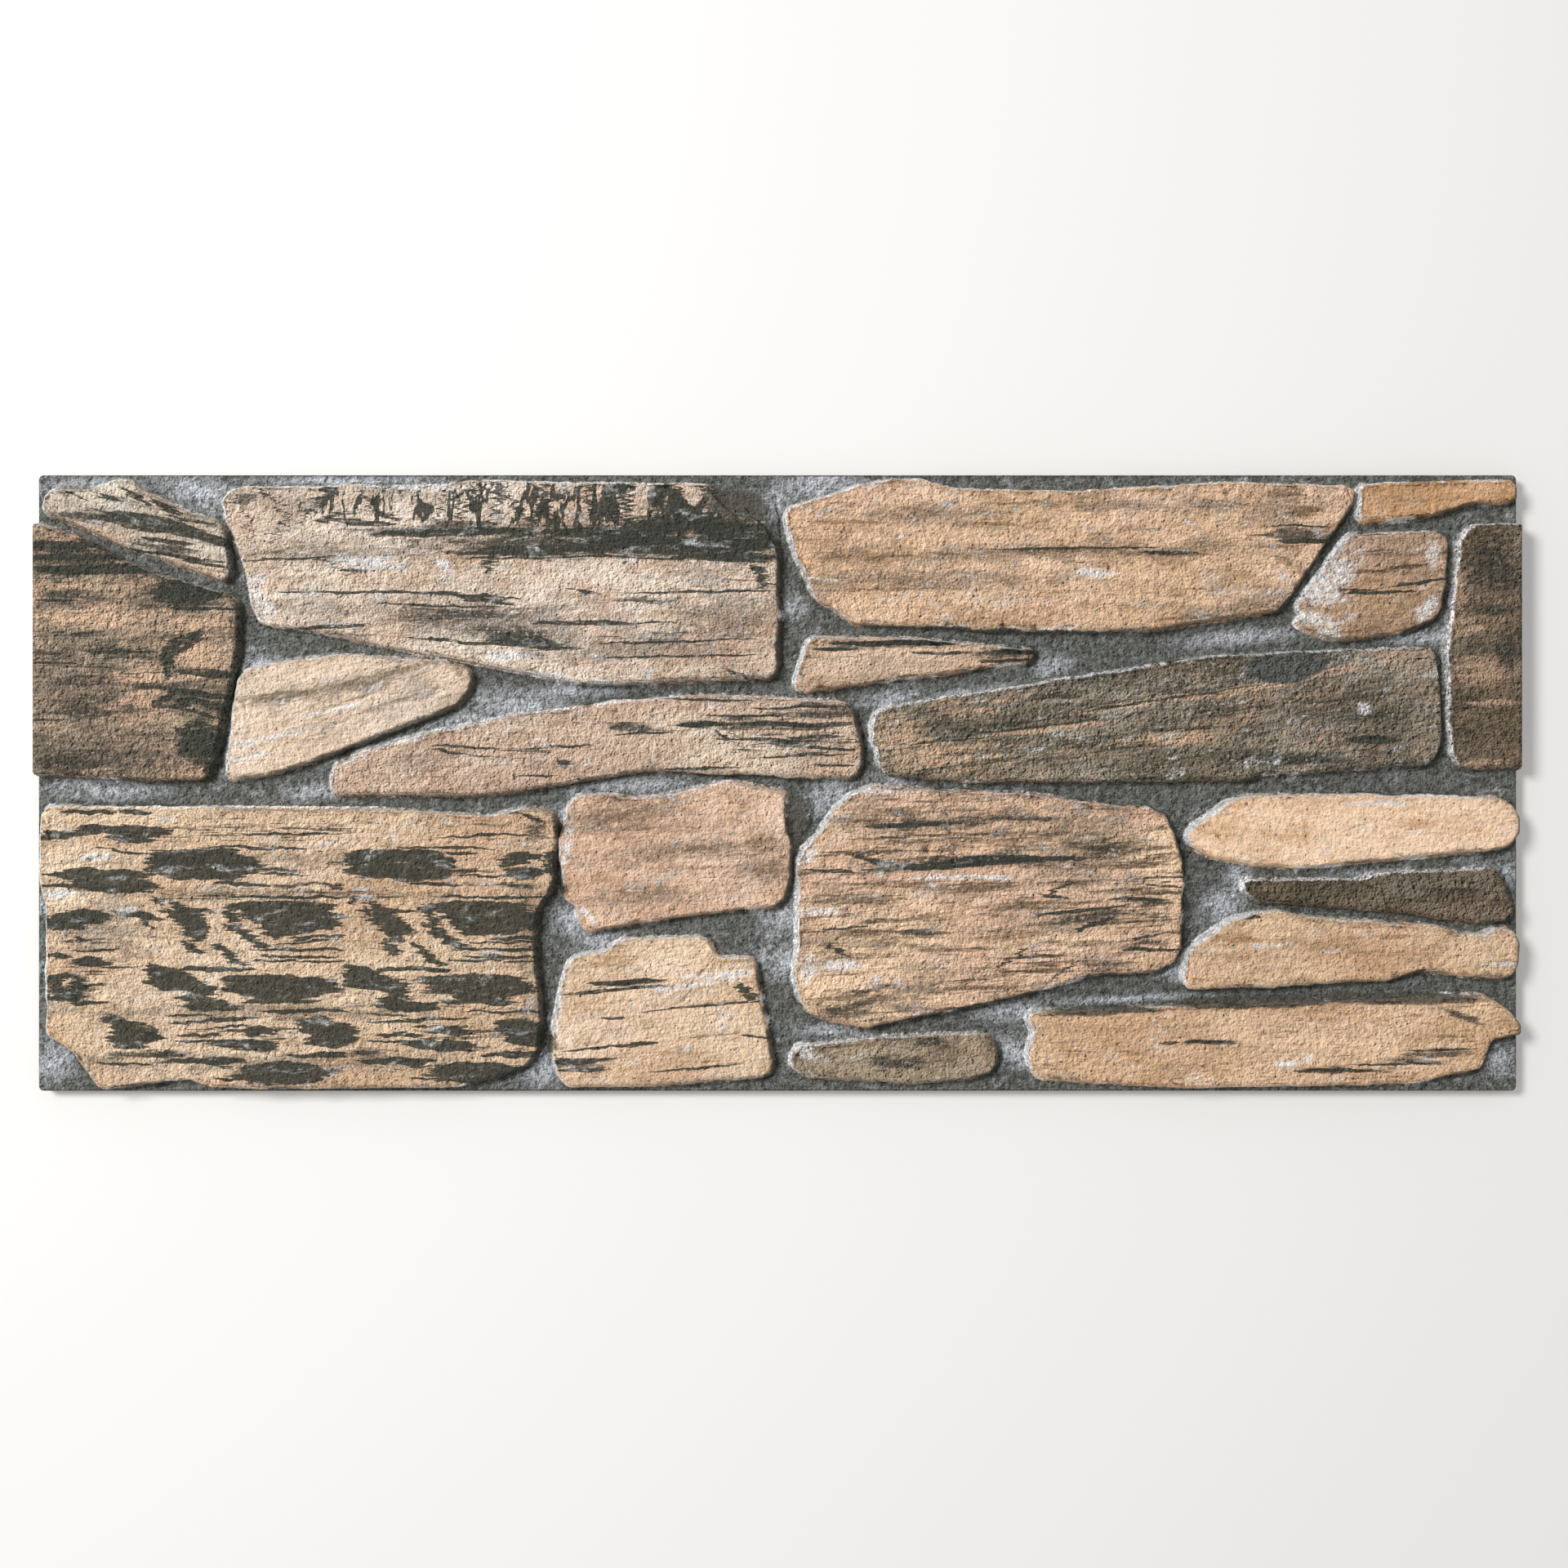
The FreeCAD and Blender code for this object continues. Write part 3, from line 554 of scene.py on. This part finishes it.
stones["bandedSlab"] = dict(
    at=(86, -48), bedding=3, rock="#F2D1AE #D6B399 #9A7A5D #4C4031", layers=(0.7, 0.5, 0.45, 0.5), grain=2.8,
    fray=14,
    soft=[(80, -15, 120, 12, 2), (85, -31, 130, 9, 1), (125, -30, 60, 30, 3), (35, -62, 70, 9, 4),
    (120, -56, 80, 12, 8), (45, -87, 70, 10, 14)],
    lined=[(150, -46, 34, 50), (60, -20, 90, 16, 2), (90, -75, 110, 20, 10)],
    blots=[(52, -17, 36, 2, 2), (71.5, -32.5, 43, 2.6, 3), (96.5, -30.5, 52.5, 3), (52, -34.5, 36, 1.6, 1),
    (42, -32, 19.5, 2.6, -14), (27.5, -58.5, 18, 1, 6), (24, -67.5, 10, 1.6, -25),
    (95.5, -70, 14.5, 1.3, 35), (102, -70, 19.5, 1.3, 3), (121, -51.5, 36, 1.6, 6),
    (128.5, -56.5, 16.5, 2, 20), (114.5, -42, 13, 1.3, 30), (112, -46, 14.5, 1.3, -6),
    (154, -38, 26.5, 1, 2), (155.5, -41.5, 16.5, 1, -5), (147.5, -62, 21, 1, 12), (150.5, -67, 23, 1.6),
    (75, -91, 62.5, 1.3, 12), (144, -47, 19.5, 1.3), (22.5, -35.5, 18.5, 1.3, -4), (114, -76, 13, 1, 40)],
    smudges=[(65, -16, 59, 3.9, 2), (95, -14.5, 52.5, 3.3), (81.5, -31.5, 98.5, 5.3, 1),
    (131, -26.5, 43, 4.6, 3), (35.5, -28.5, 39.5, 3.9), (40.5, -22, 29.5, 1.6, 3),
    (35.5, -83.5, 29.5, 3.6, 10), (30.5, -90, 33, 3.9, 14), (150.5, -48, 19.5, 6.6),
    (147.5, -64.5, 23, 4.6, 8), (121, -54.5, 39.5, 5.3, 8), (58.5, -60.5, 26.5, 3.3)],
    brown=[(88, -77.5, 59, 2.6, 10), (114.5, -72, 52.5, 2.6, 8), (65, -52.5, 85.5, 2.6, 6),
    (131, -33.5, 46, 3.3, 4), (98, -61.5, 66, 3.9, 4), (52, -41.5, 66, 2, 2), (81.5, -23.5, 82, 2.6),
    (35.5, -69, 39.5, 2.6)],
    chalk=[(12, -29, 13, 8.6), (19, -51.5, 26.5, 5.3), (40.5, -3.5, 33, 3), (12.5, -75.5, 16.5, 7.9, 80),
    (25.5, -73.5, 26.5, 5.3), (75, -38, 59, 2)],
)
stones["pebble"] = dict(
    at=(47, -111), bedding=2, rock="#A3917A #83715D #645543 #463C2E", layers=(0.35, 0.1, 0.35, 0.6),
    speckle=0.7, grain=3.2, blush=0.1,
    smudges=[(47, -113, 36, 7.9), (62, -104.5, 26.5, 4.6)],
    brown=[(57, -113, 8, 5.3)],
    chalk=[(11, -109, 8, 7.9)],
)
stones["rightCourseA"] = dict(
    at=(234, -19), bedding=0, rock="#FBDBBD #EBC7A3 #CAA177 #A08058", layers=(0.1, 0.0, 0.05, 0.5),
    grain=1.7, blush=0.1,
    brown=[(213, -18.5, 4, 13.2), (259.5, -17, 16.5, 6.6)],
    chalk=[(246, -8.5, 39.5, 2.6)],
)
stones["rightCourseB"] = dict(
    at=(246, -46), bedding=0, rock="#746A5B #605745 #473D30 #2F291F", layers=(0.4, 0.15, 0.4, 0.6),
    speckle=0.7, grain=4.6, blush=0.15, tanPaint="#75694F",
    tan=[(200, -42.5, 19.5, 3.9)],
    smudges=[(272.5, -43, 33, 3.9)],
)
stones["rightCourseC"] = dict(
    at=(231, -68), bedding=0, rock="#E0C09F #CDA683 #9F7B55 #735539", layers=(0.3, 0.1, 0.15, 0.5),
    grain=2.3,
    blots=[(189, -54, 13, 1.3)],
    brown=[(180.5, -70, 39.5, 3), (187, -63, 26.5, 3.9), (246, -62, 39.5, 2), (170.5, -79.5, 19.5, 3.3)],
    chalk=[(175.5, -59.5, 36, 4.6, 38), (163, -76, 19.5, 3.9, 82), (292, -73, 16.5, 1.3),
    (200, -65.5, 29.5, 3.9)],
)
stones["rightCourseD"] = dict(
    at=(197, -104), bedding=0, rock="#E8C5A4 #D1AD87 #A07C56 #554331", layers=(0.35, 0.2, 0.2, 0.5),
    grain=2.4, fray=14,
    blots=[(226.5, -116, 33, 1.3), (249.5, -113.5, 36, 1, 1), (158, -104.5, 7, 1.3), (173, -104.5, 18, 1.6),
    (269, -107.5, 29.5, 1, 2)],
    smudges=[(226.5, -116, 56, 3.9), (173.5, -104.5, 29.5, 2.6), (266, -109.5, 36, 4.6, 3),
    (275.5, -94, 19.5, 4.6, -20), (259.5, -112.5, 39.5, 3.3)],
    chalk=[(205.5, -113, 13, 3, 12), (214, -111, 5.5, 4.3)],
    chip=[(131, -92, 48, 4, 2), (190, -88.5, 76, 5, 1), (250, -87, 78, 5)],
)

# Pale powder in the joints: middle x and y, half length and half thickness of each patch in mm, and its
# turn in degrees

jointPowder = [
    (-277, 120, 31.5, 5, 0), (-234, 118, 25.5, 10, -20), (-171.5, 122.5, 59, 2.5, 0),
    (16, 121.5, 25.5, 8, 10),
    (-0.5, 115, 12, 8, 60), (2.5, 72, 8, 12, 80), (-102.5, 31, 33.5, 9, -8), (-129, 24.5, 18, 4.5, 10),
    (-211, 48.5, 12, 4, 10), (-83, 37.5, 23.5, 4, 0), (-56.5, -1, 29.5, 4, 4), (-86, -13.5, 6, 12, 80),
    (19, -5.5, 18, 8, 30), (-4, -3.5, 12, 3, -5), (-74.5, -63, 10, 14, 70), (-83, -56.5, 8, 12, 60),
    (2.5, -53, 14, 12, 40), (2.5, -73, 10, 18, 80), (-188, -3.5, 18, 5, 0), (-270.5, -3, 31.5, 5.5, 0),
    (-293.5, -49.5, 4, 39.5, 90), (22.5, -100, 21.5, 4, 0), (95, -92.5, 19.5, 6, 5), (95, -109, 8, 14, 70),
    (-96, -115.5, 12, 12, 50), (180.5, -49.5, 12, 10, 30), (187, -38, 8, 8, 0), (111, 47.5, 12, 6, 10),
    (45.5, 34, 18, 4.5, 8), (187, 59, 33.5, 4.5, 6), (226.5, 62, 16, 4.5, 0), (269, 59, 4, 39.5, 88),
    (292, -36.5, 6, 23.5, 88), (292, -112.5, 8, 12, 80), (246, -36.5, 23.5, 2, 3), (160.5, -76, 6, 16, 80),
    (141, -87.5, 39.5, 2, 3), (48.5, 0.5, 12, 2.5, -20), (75, 36, 25.5, 3, 10), (-293.5, -112.5, 12, 12, -30),
]

# What the prints of all stones share

printLook = {
    "paints": {
        "chalk": "#E3E3E3", "blot": "#393B34", "smudge": "#403E37", "chip": "#55524A", "pink": "#C4997F",
        "jointPale": "#BFC2C8", "jointMid": "#757773", "jointDark": "#474843",
    },
    # for the stones that set none
    "tanPaint": "#CBAA8D", "speckle": 0.45, "worn": 0.6, "blush": 0.3, "flankPowderAndHighlight": 0.95, "fray": 10.0,
    "bent": 0.6,
    # mm across the bedding, detail, roughness, how far drawn out along the bedding, seed and wisps
    "patterns": {
        "frayedEnds": (1.3, 2, 0.7, 14, 3, 0),
        "fineBite": (1.9, 4, 0.72, 6, 2, 0),
        "broadBite": (2.4, 4, 0.75, 6, 9, 0),
        "softBite": (5.0, 4, 0.72, 2.5, 13, 0.5),
        "paleClouds": (34, 3, 0.5, 2.2, 0, 0),
        "pinkClouds": (26, 4, 0.6, 1.6, 5, 0),
        "brownClouds": (8, 4, 0.68, 2.2, 11, 0),
        "dirt": (11, 4, 0.68, 3.5, 17, 0.4),
        "haze": (12, 4, 0.65, 2.5, 19, 0.6),
        "darkLayers": (2.6, 4, 0.7, 12, 23, 0),
        "paleLayers": (1.7, 4, 0.7, 6, 29, 0),
        "hairLines": (1.1, 4, 0.6, 20, 37, 0),
        "flecks": (1.3, 2, 0.6, 1.3, 43, 0),
        "wornBlots": (1.6, 3, 0.72, 4, 47, 0),
        "dust": (1.5, 4, 0.7, 1.5, 53, 0),
        "veins": (10.0, 4, 0.55, 2.4, 61, 0.3),
        "weave": (1.3, 4, 0.7, 4, 71, 0),
        "jointGrain": (2.4, 4, 0.72, 1.0, 7, 0.6),
        "jointClouds": (9, 3, 0.68, 1.3, 19, 1.2),
        "edgeWander": (3.0, 4, 0.65, 1.0, 51, 0),
    },
    "ragged": ((9.0, 2.2, 0), (1.8, 1.0, 6)),  # mm across, mm that printed edges wander, and seed
    "bentSize": 7.0,         # mm, over what length the outlines of blots wander
    "markReach": 0.62,       # share of its length and thickness where a mark has faded out
    "markDepth": 900,        # mm, so that a mark is the same at every height
    "motifSpan": (-254.0, 79.6),  # mm, where the motif of the spotted slab begins, and its period
    "veinTurn": 84,          # degrees
    "stoneFrom": (-2.0, -1.5),    # mm in from the rim of a stone's top, out of it below 0
    # Strips along the rims, laid by which way their place faces: powder is white powder and painted highlight
    # on the flanks that face the light, crest a thin painted highlight along the rim, shade painted shade on
    # the
    # flanks that face away. Each: where they start from outside and are full, the same from inside, how far
    # their place faces the light for the least and the most of them, and how much the least is
    "rims": {
        "powder": (-2.7, -1.9, 0.0, -1.2, 0.45, 0.93, 0.0),
        "crest": (-1.9, -1.5, -0.5, -1.1, -0.1, 0.6, 0.05),
        "shade": (-3.8, -2.6, 0.6, -0.9, -0.25, -0.85, 0.0),
    },
    # mm across, detail, where, and the step towards the light that shades them
    "grit": (0.85, 2, (0, 0), (-0.36, 0.2)),
    "lumps": (2.6, 3, (5.0, 3.5), (-0.8, 0.4)),
    "jointEmboss": 2.8,      # what grain is for the stones
    "pitCell": 2.4,          # mm between pits
    "relief": 0.5,           # mm, depth of the fine bumps
    "roughness": 0.8,
    "gloss": 0.15,
}


def stonewareMaterial(name, stoneLook):
    # Matte glazed porcelain stoneware, printed after pressing: dull, gritty, no mirror anywhere
    look = {**printLook, **stoneLook}
    turn = look["bedding"]
    ownSeed = 40.0 * list(stones).index(name)
    material, tree, place = emptyMaterial("printedStoneware_" + name)
    smooth = {"interpolation_type": "SMOOTHSTEP"}
    texture = {"vector_type": "TEXTURE"}
    rgba = {"data_type": "RGBA"}
    add, less, by, byThenAdd = ({"operation": o} for o in ("ADD", "SUBTRACT", "MULTIPLY", "MULTIPLY_ADD"))

    def first(kind, settings=None, **inputs):
        # The first output of a new node
        return addNode(tree, kind, settings, **inputs).outputs[0]

    def paint(kind):
        return toLinear(look["paints"][kind])

    def cloudy(size, detail, rough, along=1.0, turned=0.0, at=(0.0, 0.0), wisps=0.0):
        # Noise with features of that many millimetres, drawn out along the bedding
        where = first("Mapping", texture, Vector=inMm, Location=(*at, 0),
                      Rotation=(0, 0, math.radians(turned)), Scale=(size * along, size, size))
        return addNode(tree, "TexNoise", Vector=where, Scale=1.0, Detail=detail, Roughness=rough,
                       Distortion=wisps)

    def pattern(kind, turned=turn, start=ownSeed):
        size, detail, rough, along, seed, wisps = look["patterns"][kind]
        seed += start
        return cloudy(size, detail, rough, along, turned, (seed, seed * 0.7), wisps).outputs[0]

    def swaying(kind, amount, turned=turn, start=ownSeed):
        # A pattern about zero
        field = pattern(kind, turned, start)
        return first("MapRange", {"clamp": False}, i0=field, i3=-amount / 2, i4=amount / 2)

    def grains(kind):
        # Printed grains and their light and shade, which come from comparing them a step away
        size, detail, (x, y), (stepX, stepY) = look[kind]
        here = cloudy(size, detail, 0.6, at=(x, y)).outputs[0]
        beside = cloudy(size, detail, 0.6, at=(x + stepX, y + stepY)).outputs[0]
        return here, first("Math", less, i0=here, i1=beside)

    def warped(where, size, reach, seed):
        # Coordinates pushed about by noise, so that what is drawn there gets ragged edges
        push = cloudy(size, 2, 0.6, 1.5, turn, (ownSeed + seed, 5.0)).outputs["Color"]
        push = first("VectorMath", byThenAdd, i0=push, i1=(reach, reach, 0), i2=(-reach / 2, -reach / 2, 0))
        return first("VectorMath", add, i0=where, i1=push)

    def spots(kind, where):
        # 1 in the middle of each mark, falling to 0 a little outside it
        field = None
        reach = look["markReach"]
        for x, y, length, thickness, *turned in stoneLook.get(kind, ()):
            angle = math.radians(turned[0]) if turned else 0.0
            spot = first("Mapping", texture, Vector=where, Location=(x, y, 0), Rotation=(0, 0, angle),
                         Scale=(length * reach, thickness * reach, look["markDepth"]))
            one = addNode(tree, "TexGradient", {"gradient_type": "SPHERICAL"}, Vector=spot).outputs["Fac"]
            field = one if field is None else first("Math", {"operation": "MAXIMUM"}, i0=field, i1=one)
        return field

    def coated(colour, tone, field, low, high, share=1.0):
        # Lays a tone on where a field rises from low to high
        share = first("MapRange", smooth, i0=field, i1=low, i2=high, i4=share)
        return addNode(tree, "Mix", rgba, i0=share, i6=colour, i7=tone).outputs[2]

    def laid(colour, kind, tone, share, low, high, bite, where):
        # Paints the marks of a kind, with edges bitten by a pattern
        field = spots(kind, where)
        if field is None:
            return colour
        return coated(colour, tone, first("Math", add, i0=field, i1=bite), low, high, share)

    light, base, brown, dark = map(toLinear, look["rock"].split())
    blot, smudge, chalk = map(paint, ("blot", "smudge", "chalk"))
    streaks, threads, wash, mottle = look["layers"]
    inMm = first("VectorMath", {"operation": "SCALE"}, Vector=place, Scale=1 / mm)
    ragged = inMm
    for size, reach, seed in look["ragged"]:
        ragged = warped(ragged, size, reach, seed)
    drawnOut = swaying("frayedEnds", look["fray"])
    drawnOut = first("VectorMath", {"operation": "SCALE"}, i0=(1, 0, 0), Scale=drawnOut)
    frayed = first("VectorMath", add, i0=warped(ragged, look["bentSize"], look["bent"], 67), i1=drawnOut)
    fineBite = swaying("fineBite", 0.8)
    broadBite = swaying("broadBite", 2.6)
    softBite = swaying("softBite", 2.8)

    # the rock itself: pale and warm clouds, dirt, bedding streaks and hair lines
    colour = coated(base, light, pattern("paleClouds"), 0.38, 0.62)
    colour = coated(colour, paint("pink"), pattern("pinkClouds"), 0.45, 0.65, look["blush"])
    blotch = pattern("brownClouds")
    colour = coated(colour, brown, blotch, 0.44, 0.66, mottle)
    colour = coated(colour, smudge, pattern("dirt"), 0.5, 0.68, wash)
    colour = coated(colour, light, pattern("haze"), 0.55, 0.75, 0.5)
    colour = laid(colour, "tan", toLinear(look["tanPaint"]), 0.85, 0.1, 0.7, broadBite, ragged)
    colour = laid(colour, "brown", brown, 0.8, 0.25, 0.8, broadBite, ragged)
    colour = laid(colour, "soft", smudge, 0.5, 0.1, 0.8, softBite, ragged)
    edge = 0.66 - 0.24 * streaks
    colour = coated(colour, dark, pattern("darkLayers"), edge, edge + 0.12, 0.75)
    colour = coated(colour, light, pattern("paleLayers"), 0.52, 0.72, 0.5)
    hair = pattern("hairLines")
    lined = spots("lined", ragged)
    if lined is not None:
        more = first("MapRange", smooth, i0=lined, i1=0.1, i2=0.7, i4=0.16)
        hair = first("Math", add, i0=hair, i1=more)
    edge = 0.78 - 0.16 * threads
    colour = coated(colour, dark, hair, edge, edge + 0.05, 0.85)
    colour = laid(colour, "smudges", smudge, 0.88, 0.2, 0.75, broadBite, ragged)
    colour = coated(colour, light, pattern("flecks"), 0.56, 0.72, look["speckle"])
    teeth = spots("teeth", ragged)
    if teeth is not None:
        # upright veins that hang from the crest
        vein = first("Math", {"operation": "ABSOLUTE"}, i0=swaying("veins", 1.0, look["veinTurn"]))
        vein = first("Math", byThenAdd, i0=teeth, i1=-0.06, i2=vein)
        share = first("MapRange", smooth, i0=teeth, i1=0.04, i2=0.2, i4=0.95)
        colour = coated(colour, blot, vein, 0.012, -0.006, share)
    worn = first("MapRange", smooth, i0=pattern("wornBlots"), i1=0.7, i2=0.5, i3=look["worn"], i4=0.96)
    colour = laid(colour, "blots", blot, worn, 0.1, 0.2, fineBite, frayed)
    if "motif" in stoneLook:
        # the print comes again along the slab
        start, period = look["motifSpan"]
        x, y = addNode(tree, "SeparateXYZ", i0=frayed).outputs[:2]
        along = first("Math", {"operation": "WRAP"}, i0=x, i1=start + period, i2=start)
        again = first("CombineXYZ", i0=along, i1=y, i2=0.0)
        begun = first("MapRange", smooth, i0=x, i1=start - 0.2, i2=start + 0.2, i4=worn)
        colour = laid(colour, "motifSmudges", smudge, begun, 0.2, 0.75, broadBite, again)
        colour = laid(colour, "motif", blot, begun, 0.1, 0.2, fineBite, again)
    dust = first("MapRange", smooth, i0=pattern("dust"), i1=0.35, i2=0.6, i3=0.25, i4=0.85)
    # chalk: pale patches of the print, and along edges and slopes that face the light also painted highlight
    colour = laid(colour, "chalk", chalk, dust, 0.1, 0.8, softBite, ragged)

    # the joints, and what of them was printed over the stones
    jointGrain = pattern("jointGrain", 0, 0)
    joint = coated(paint("jointDark"), paint("jointMid"), jointGrain, 0.34, 0.64)
    grout = addNode(tree, "Mix", rgba, i0=0.6, i6=joint, i7=paint("jointDark")).outputs[2]
    colour = laid(colour, "grout", grout, 1.0, 0.1, 0.25, fineBite, ragged)
    powdery = addNode(tree, "Attribute", {"attribute_name": "powder"}).outputs["Fac"]
    cloud = first("MapRange", smooth, i0=pattern("jointClouds", 0, 0), i1=0.54, i2=0.74, i4=0.45)
    grainy = first("MapRange", smooth, i0=jointGrain, i1=0.34, i2=0.6, i3=0.2, i4=1.0)
    pale = first("Math", by, i0=first("Math", byThenAdd, i0=powdery, i1=1.1, i2=cloud), i1=grainy)
    joint = addNode(tree, "Mix", rgba, i0=pale, i6=joint, i7=paint("jointPale")).outputs[2]

    # edges: white powder and painted highlight on the flanks that face the left, painted shade in blot colour
    # on those that face away, and a thin painted highlight along the crest
    inside = addNode(tree, "Attribute", {"attribute_name": "inside"}).outputs["Fac"]
    lit = addNode(tree, "Attribute", {"attribute_name": "lit"}).outputs["Fac"]
    edgeAt = first("Math", add, i0=inside, i1=swaying("edgeWander", 2.0, 0, 0))
    low, high = look["stoneFrom"]
    onStone = first("MapRange", smooth, i0=edgeAt, i1=low, i2=high)
    colour = addNode(tree, "Mix", rgba, i0=onStone, i6=joint, i7=colour).outputs[2]
    # powder and crest lay painted highlight in chalk white, powder partly real powder; shade lays painted
    # shade
    for kind, tone, most in ("powder", chalk, look["flankPowderAndHighlight"]), ("crest", chalk, 0.8), ("shade", blot, 0.85):
        outStart, outFull, inStart, inFull, litLeast, litMost, least = look["rims"][kind]
        facing = first("MapRange", smooth, i0=lit, i1=litLeast, i2=litMost, i3=least, i4=most)
        facing = first("MapRange", smooth, i0=edgeAt, i1=inStart, i2=inFull, i4=facing)
        colour = coated(colour, tone, edgeAt, outStart, outFull, facing)
    # chip: dark grey-brown over the joints too, painted shade in recesses of broken corners, dark print on a
    # rim
    colour = laid(colour, "chip", paint("chip"), 0.9, 0.1, 0.4, fineBite, ragged)

    # painted light and shade on the printed grains, lit from the left, and pits dot the face
    grit, gritShade = grains("grit")
    lumps, lumpShade = grains("lumps")
    shade = first("Math", byThenAdd, i0=lumpShade, i1=0.85, i2=gritShade)
    strength = first("MapRange", smooth, i0=onStone, i3=look["jointEmboss"], i4=look["grain"])
    glow = first("Math", byThenAdd, i0=shade, i1=strength, i2=swaying("weave", 0.95))
    cells = first("Mapping", texture, Vector=inMm, Scale=(look["pitCell"],) * 3)
    pits = addNode(tree, "TexVoronoi", {"feature": "F1"}, Vector=cells, Scale=1.0)
    few = first("SeparateColor", i0=pits.outputs["Color"])
    few = first("MapRange", smooth, i0=few, i1=0.6, i2=0.65, i4=0.55)
    pit = first("MapRange", smooth, i0=pits.outputs["Distance"], i1=0.24, i2=0.12, i4=few)
    glow = first("Math", add, i0=glow, i1=first("Math", less, i0=1.0, i1=pit))
    glow = first("CombineColor", i0=glow, i1=glow, i2=glow)
    colour = addNode(tree, "Mix", {**rgba, "blend_type": "MULTIPLY"}, i0=1.0, i6=colour, i7=glow).outputs[2]

    height = 0.0
    for field, weight in ((grit, 0.6), (lumps, 1.4), (blotch, 1.6)):
        height = first("Math", byThenAdd, i0=field, i1=weight, i2=height)
    bump = first("Bump", Strength=1.0, Distance=look["relief"] * mm, Height=height)
    shader = first("BsdfPrincipled", Base_Color=colour, Roughness=look["roughness"],
                   Specular_IOR_Level=look["gloss"], Normal=bump)
    addNode(tree, "OutputMaterial", Surface=shader)
    return material


biscuitLook = {
    "deep": "#9A9084",
    "pale": "#B3A99B",
    "flecks": 900.0,  # to the metre
    "clouds": 28.0,
    "relief": 0.15,   # mm
    "roughness": 0.85,
}


def biscuitMaterial():
    # Unglazed fired body on the back and the cut edges: pale grey-beige, quite dull, faintly flecked
    look = biscuitLook
    material, tree, place = emptyMaterial("firedBiscuitBody")
    flecks = addNode(tree, "TexNoise", Vector=place, Scale=look["flecks"], Detail=3.0)
    clouds = addNode(tree, "TexNoise", Vector=place, Scale=look["clouds"], Detail=4.0)
    tint = addNode(tree, "MapRange", Value=clouds.outputs[0], From_Min=0.3, From_Max=0.7)
    colour = addNode(tree, "Mix", {"data_type": "RGBA"}, i0=tint.outputs[0], i6=toLinear(look["deep"]),
                     i7=toLinear(look["pale"]))
    bump = addNode(tree, "Bump", Strength=0.5, Distance=look["relief"] * mm, Height=flecks.outputs[0])
    shader = addNode(tree, "BsdfPrincipled", Base_Color=colour.outputs[2], Roughness=look["roughness"],
                     Normal=bump.outputs[0])
    addNode(tree, "OutputMaterial", Surface=shader.outputs[0])
    return material


tileMesh = makeTile()
for stoneName, ownLook in stones.items():
    tileMesh.materials.append(stonewareMaterial(stoneName, ownLook))
tileMesh.materials.append(biscuitMaterial())
tile = putInScene("stoneTile", tileMesh)
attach(tile, "root")
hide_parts("stone_panel")
say("tile dressed, %d triangles" % len(tileMesh.polygons))

# The set: a pale floor under the tile, a broad lamp from the upper left and soft light all round

studio = {
    "floor": (4.0, 0.0005),    # m, half its side, and how far it lies below the tile
    "floorColour": "#F6F5F3",
    "floorRoughness": 0.9,
    "worldStrength": 0.5,
    "lampAt": (-0.95, 0.5, 1.6),
    "lampPower": 24.0,
    "lampSize": 0.55,
    "cameraHeight": 0.855,     # m above the joint bed
    "aim": (2.65, -0.4),       # mm, where the picture's middle meets the tile
    "frameWidth": 636.5,       # mm seen across the joint bed
    "sensorWidth": 36,
}

floorHalf, floorDrop = studio["floor"]
floorMesh = bpy.data.meshes.new("studioFloor")
bm = bmesh.new()
bmesh.ops.create_grid(bm, x_segments=1, y_segments=1, size=floorHalf)
bmesh.ops.translate(bm, verts=bm.verts, vec=(0, 0, -floorDrop))
bm.to_mesh(floorMesh)
bm.free()
floor = putInScene("studioFloor", floorMesh)
floorPaint = bpy.data.materials.new("whiteBoard")
floorPaint.use_nodes = True
boardInputs = floorPaint.node_tree.nodes["Principled BSDF"].inputs
boardInputs["Base Color"].default_value = toLinear(studio["floorColour"])
boardInputs["Roughness"].default_value = studio["floorRoughness"]
floorMesh.materials.append(floorPaint)

world = bpy.data.worlds.new("studioLight")
world.use_nodes = True
skyInputs = world.node_tree.nodes["Background"].inputs
skyInputs["Color"].default_value = (1, 1, 1, 1)
skyInputs["Strength"].default_value = studio["worldStrength"]
bpy.context.scene.world = world

lampData = bpy.data.lights.new("keyLamp", "AREA")
lampData.shape = "DISK"
lampData.size = studio["lampSize"]
lampData.energy = studio["lampPower"]
lamp = putInScene("keyLamp", lampData)
lamp.location = studio["lampAt"]
lamp.rotation_euler = (-lamp.location).to_track_quat("-Z", "Y").to_euler()

aimX, aimY = studio["aim"]
cameraData = bpy.data.cameras.new("camera")
cameraData.sensor_width = studio["sensorWidth"]
cameraData.lens = studio["sensorWidth"] * studio["cameraHeight"] / (studio["frameWidth"] * mm)
camera = putInScene("camera", cameraData)
camera.location = (aimX * mm, aimY * mm, studio["cameraHeight"] + tileRelief["bedTop"] * mm)
bpy.context.scene.camera = camera
bpy.context.scene.view_settings.view_transform = "Standard"
say("studio set")
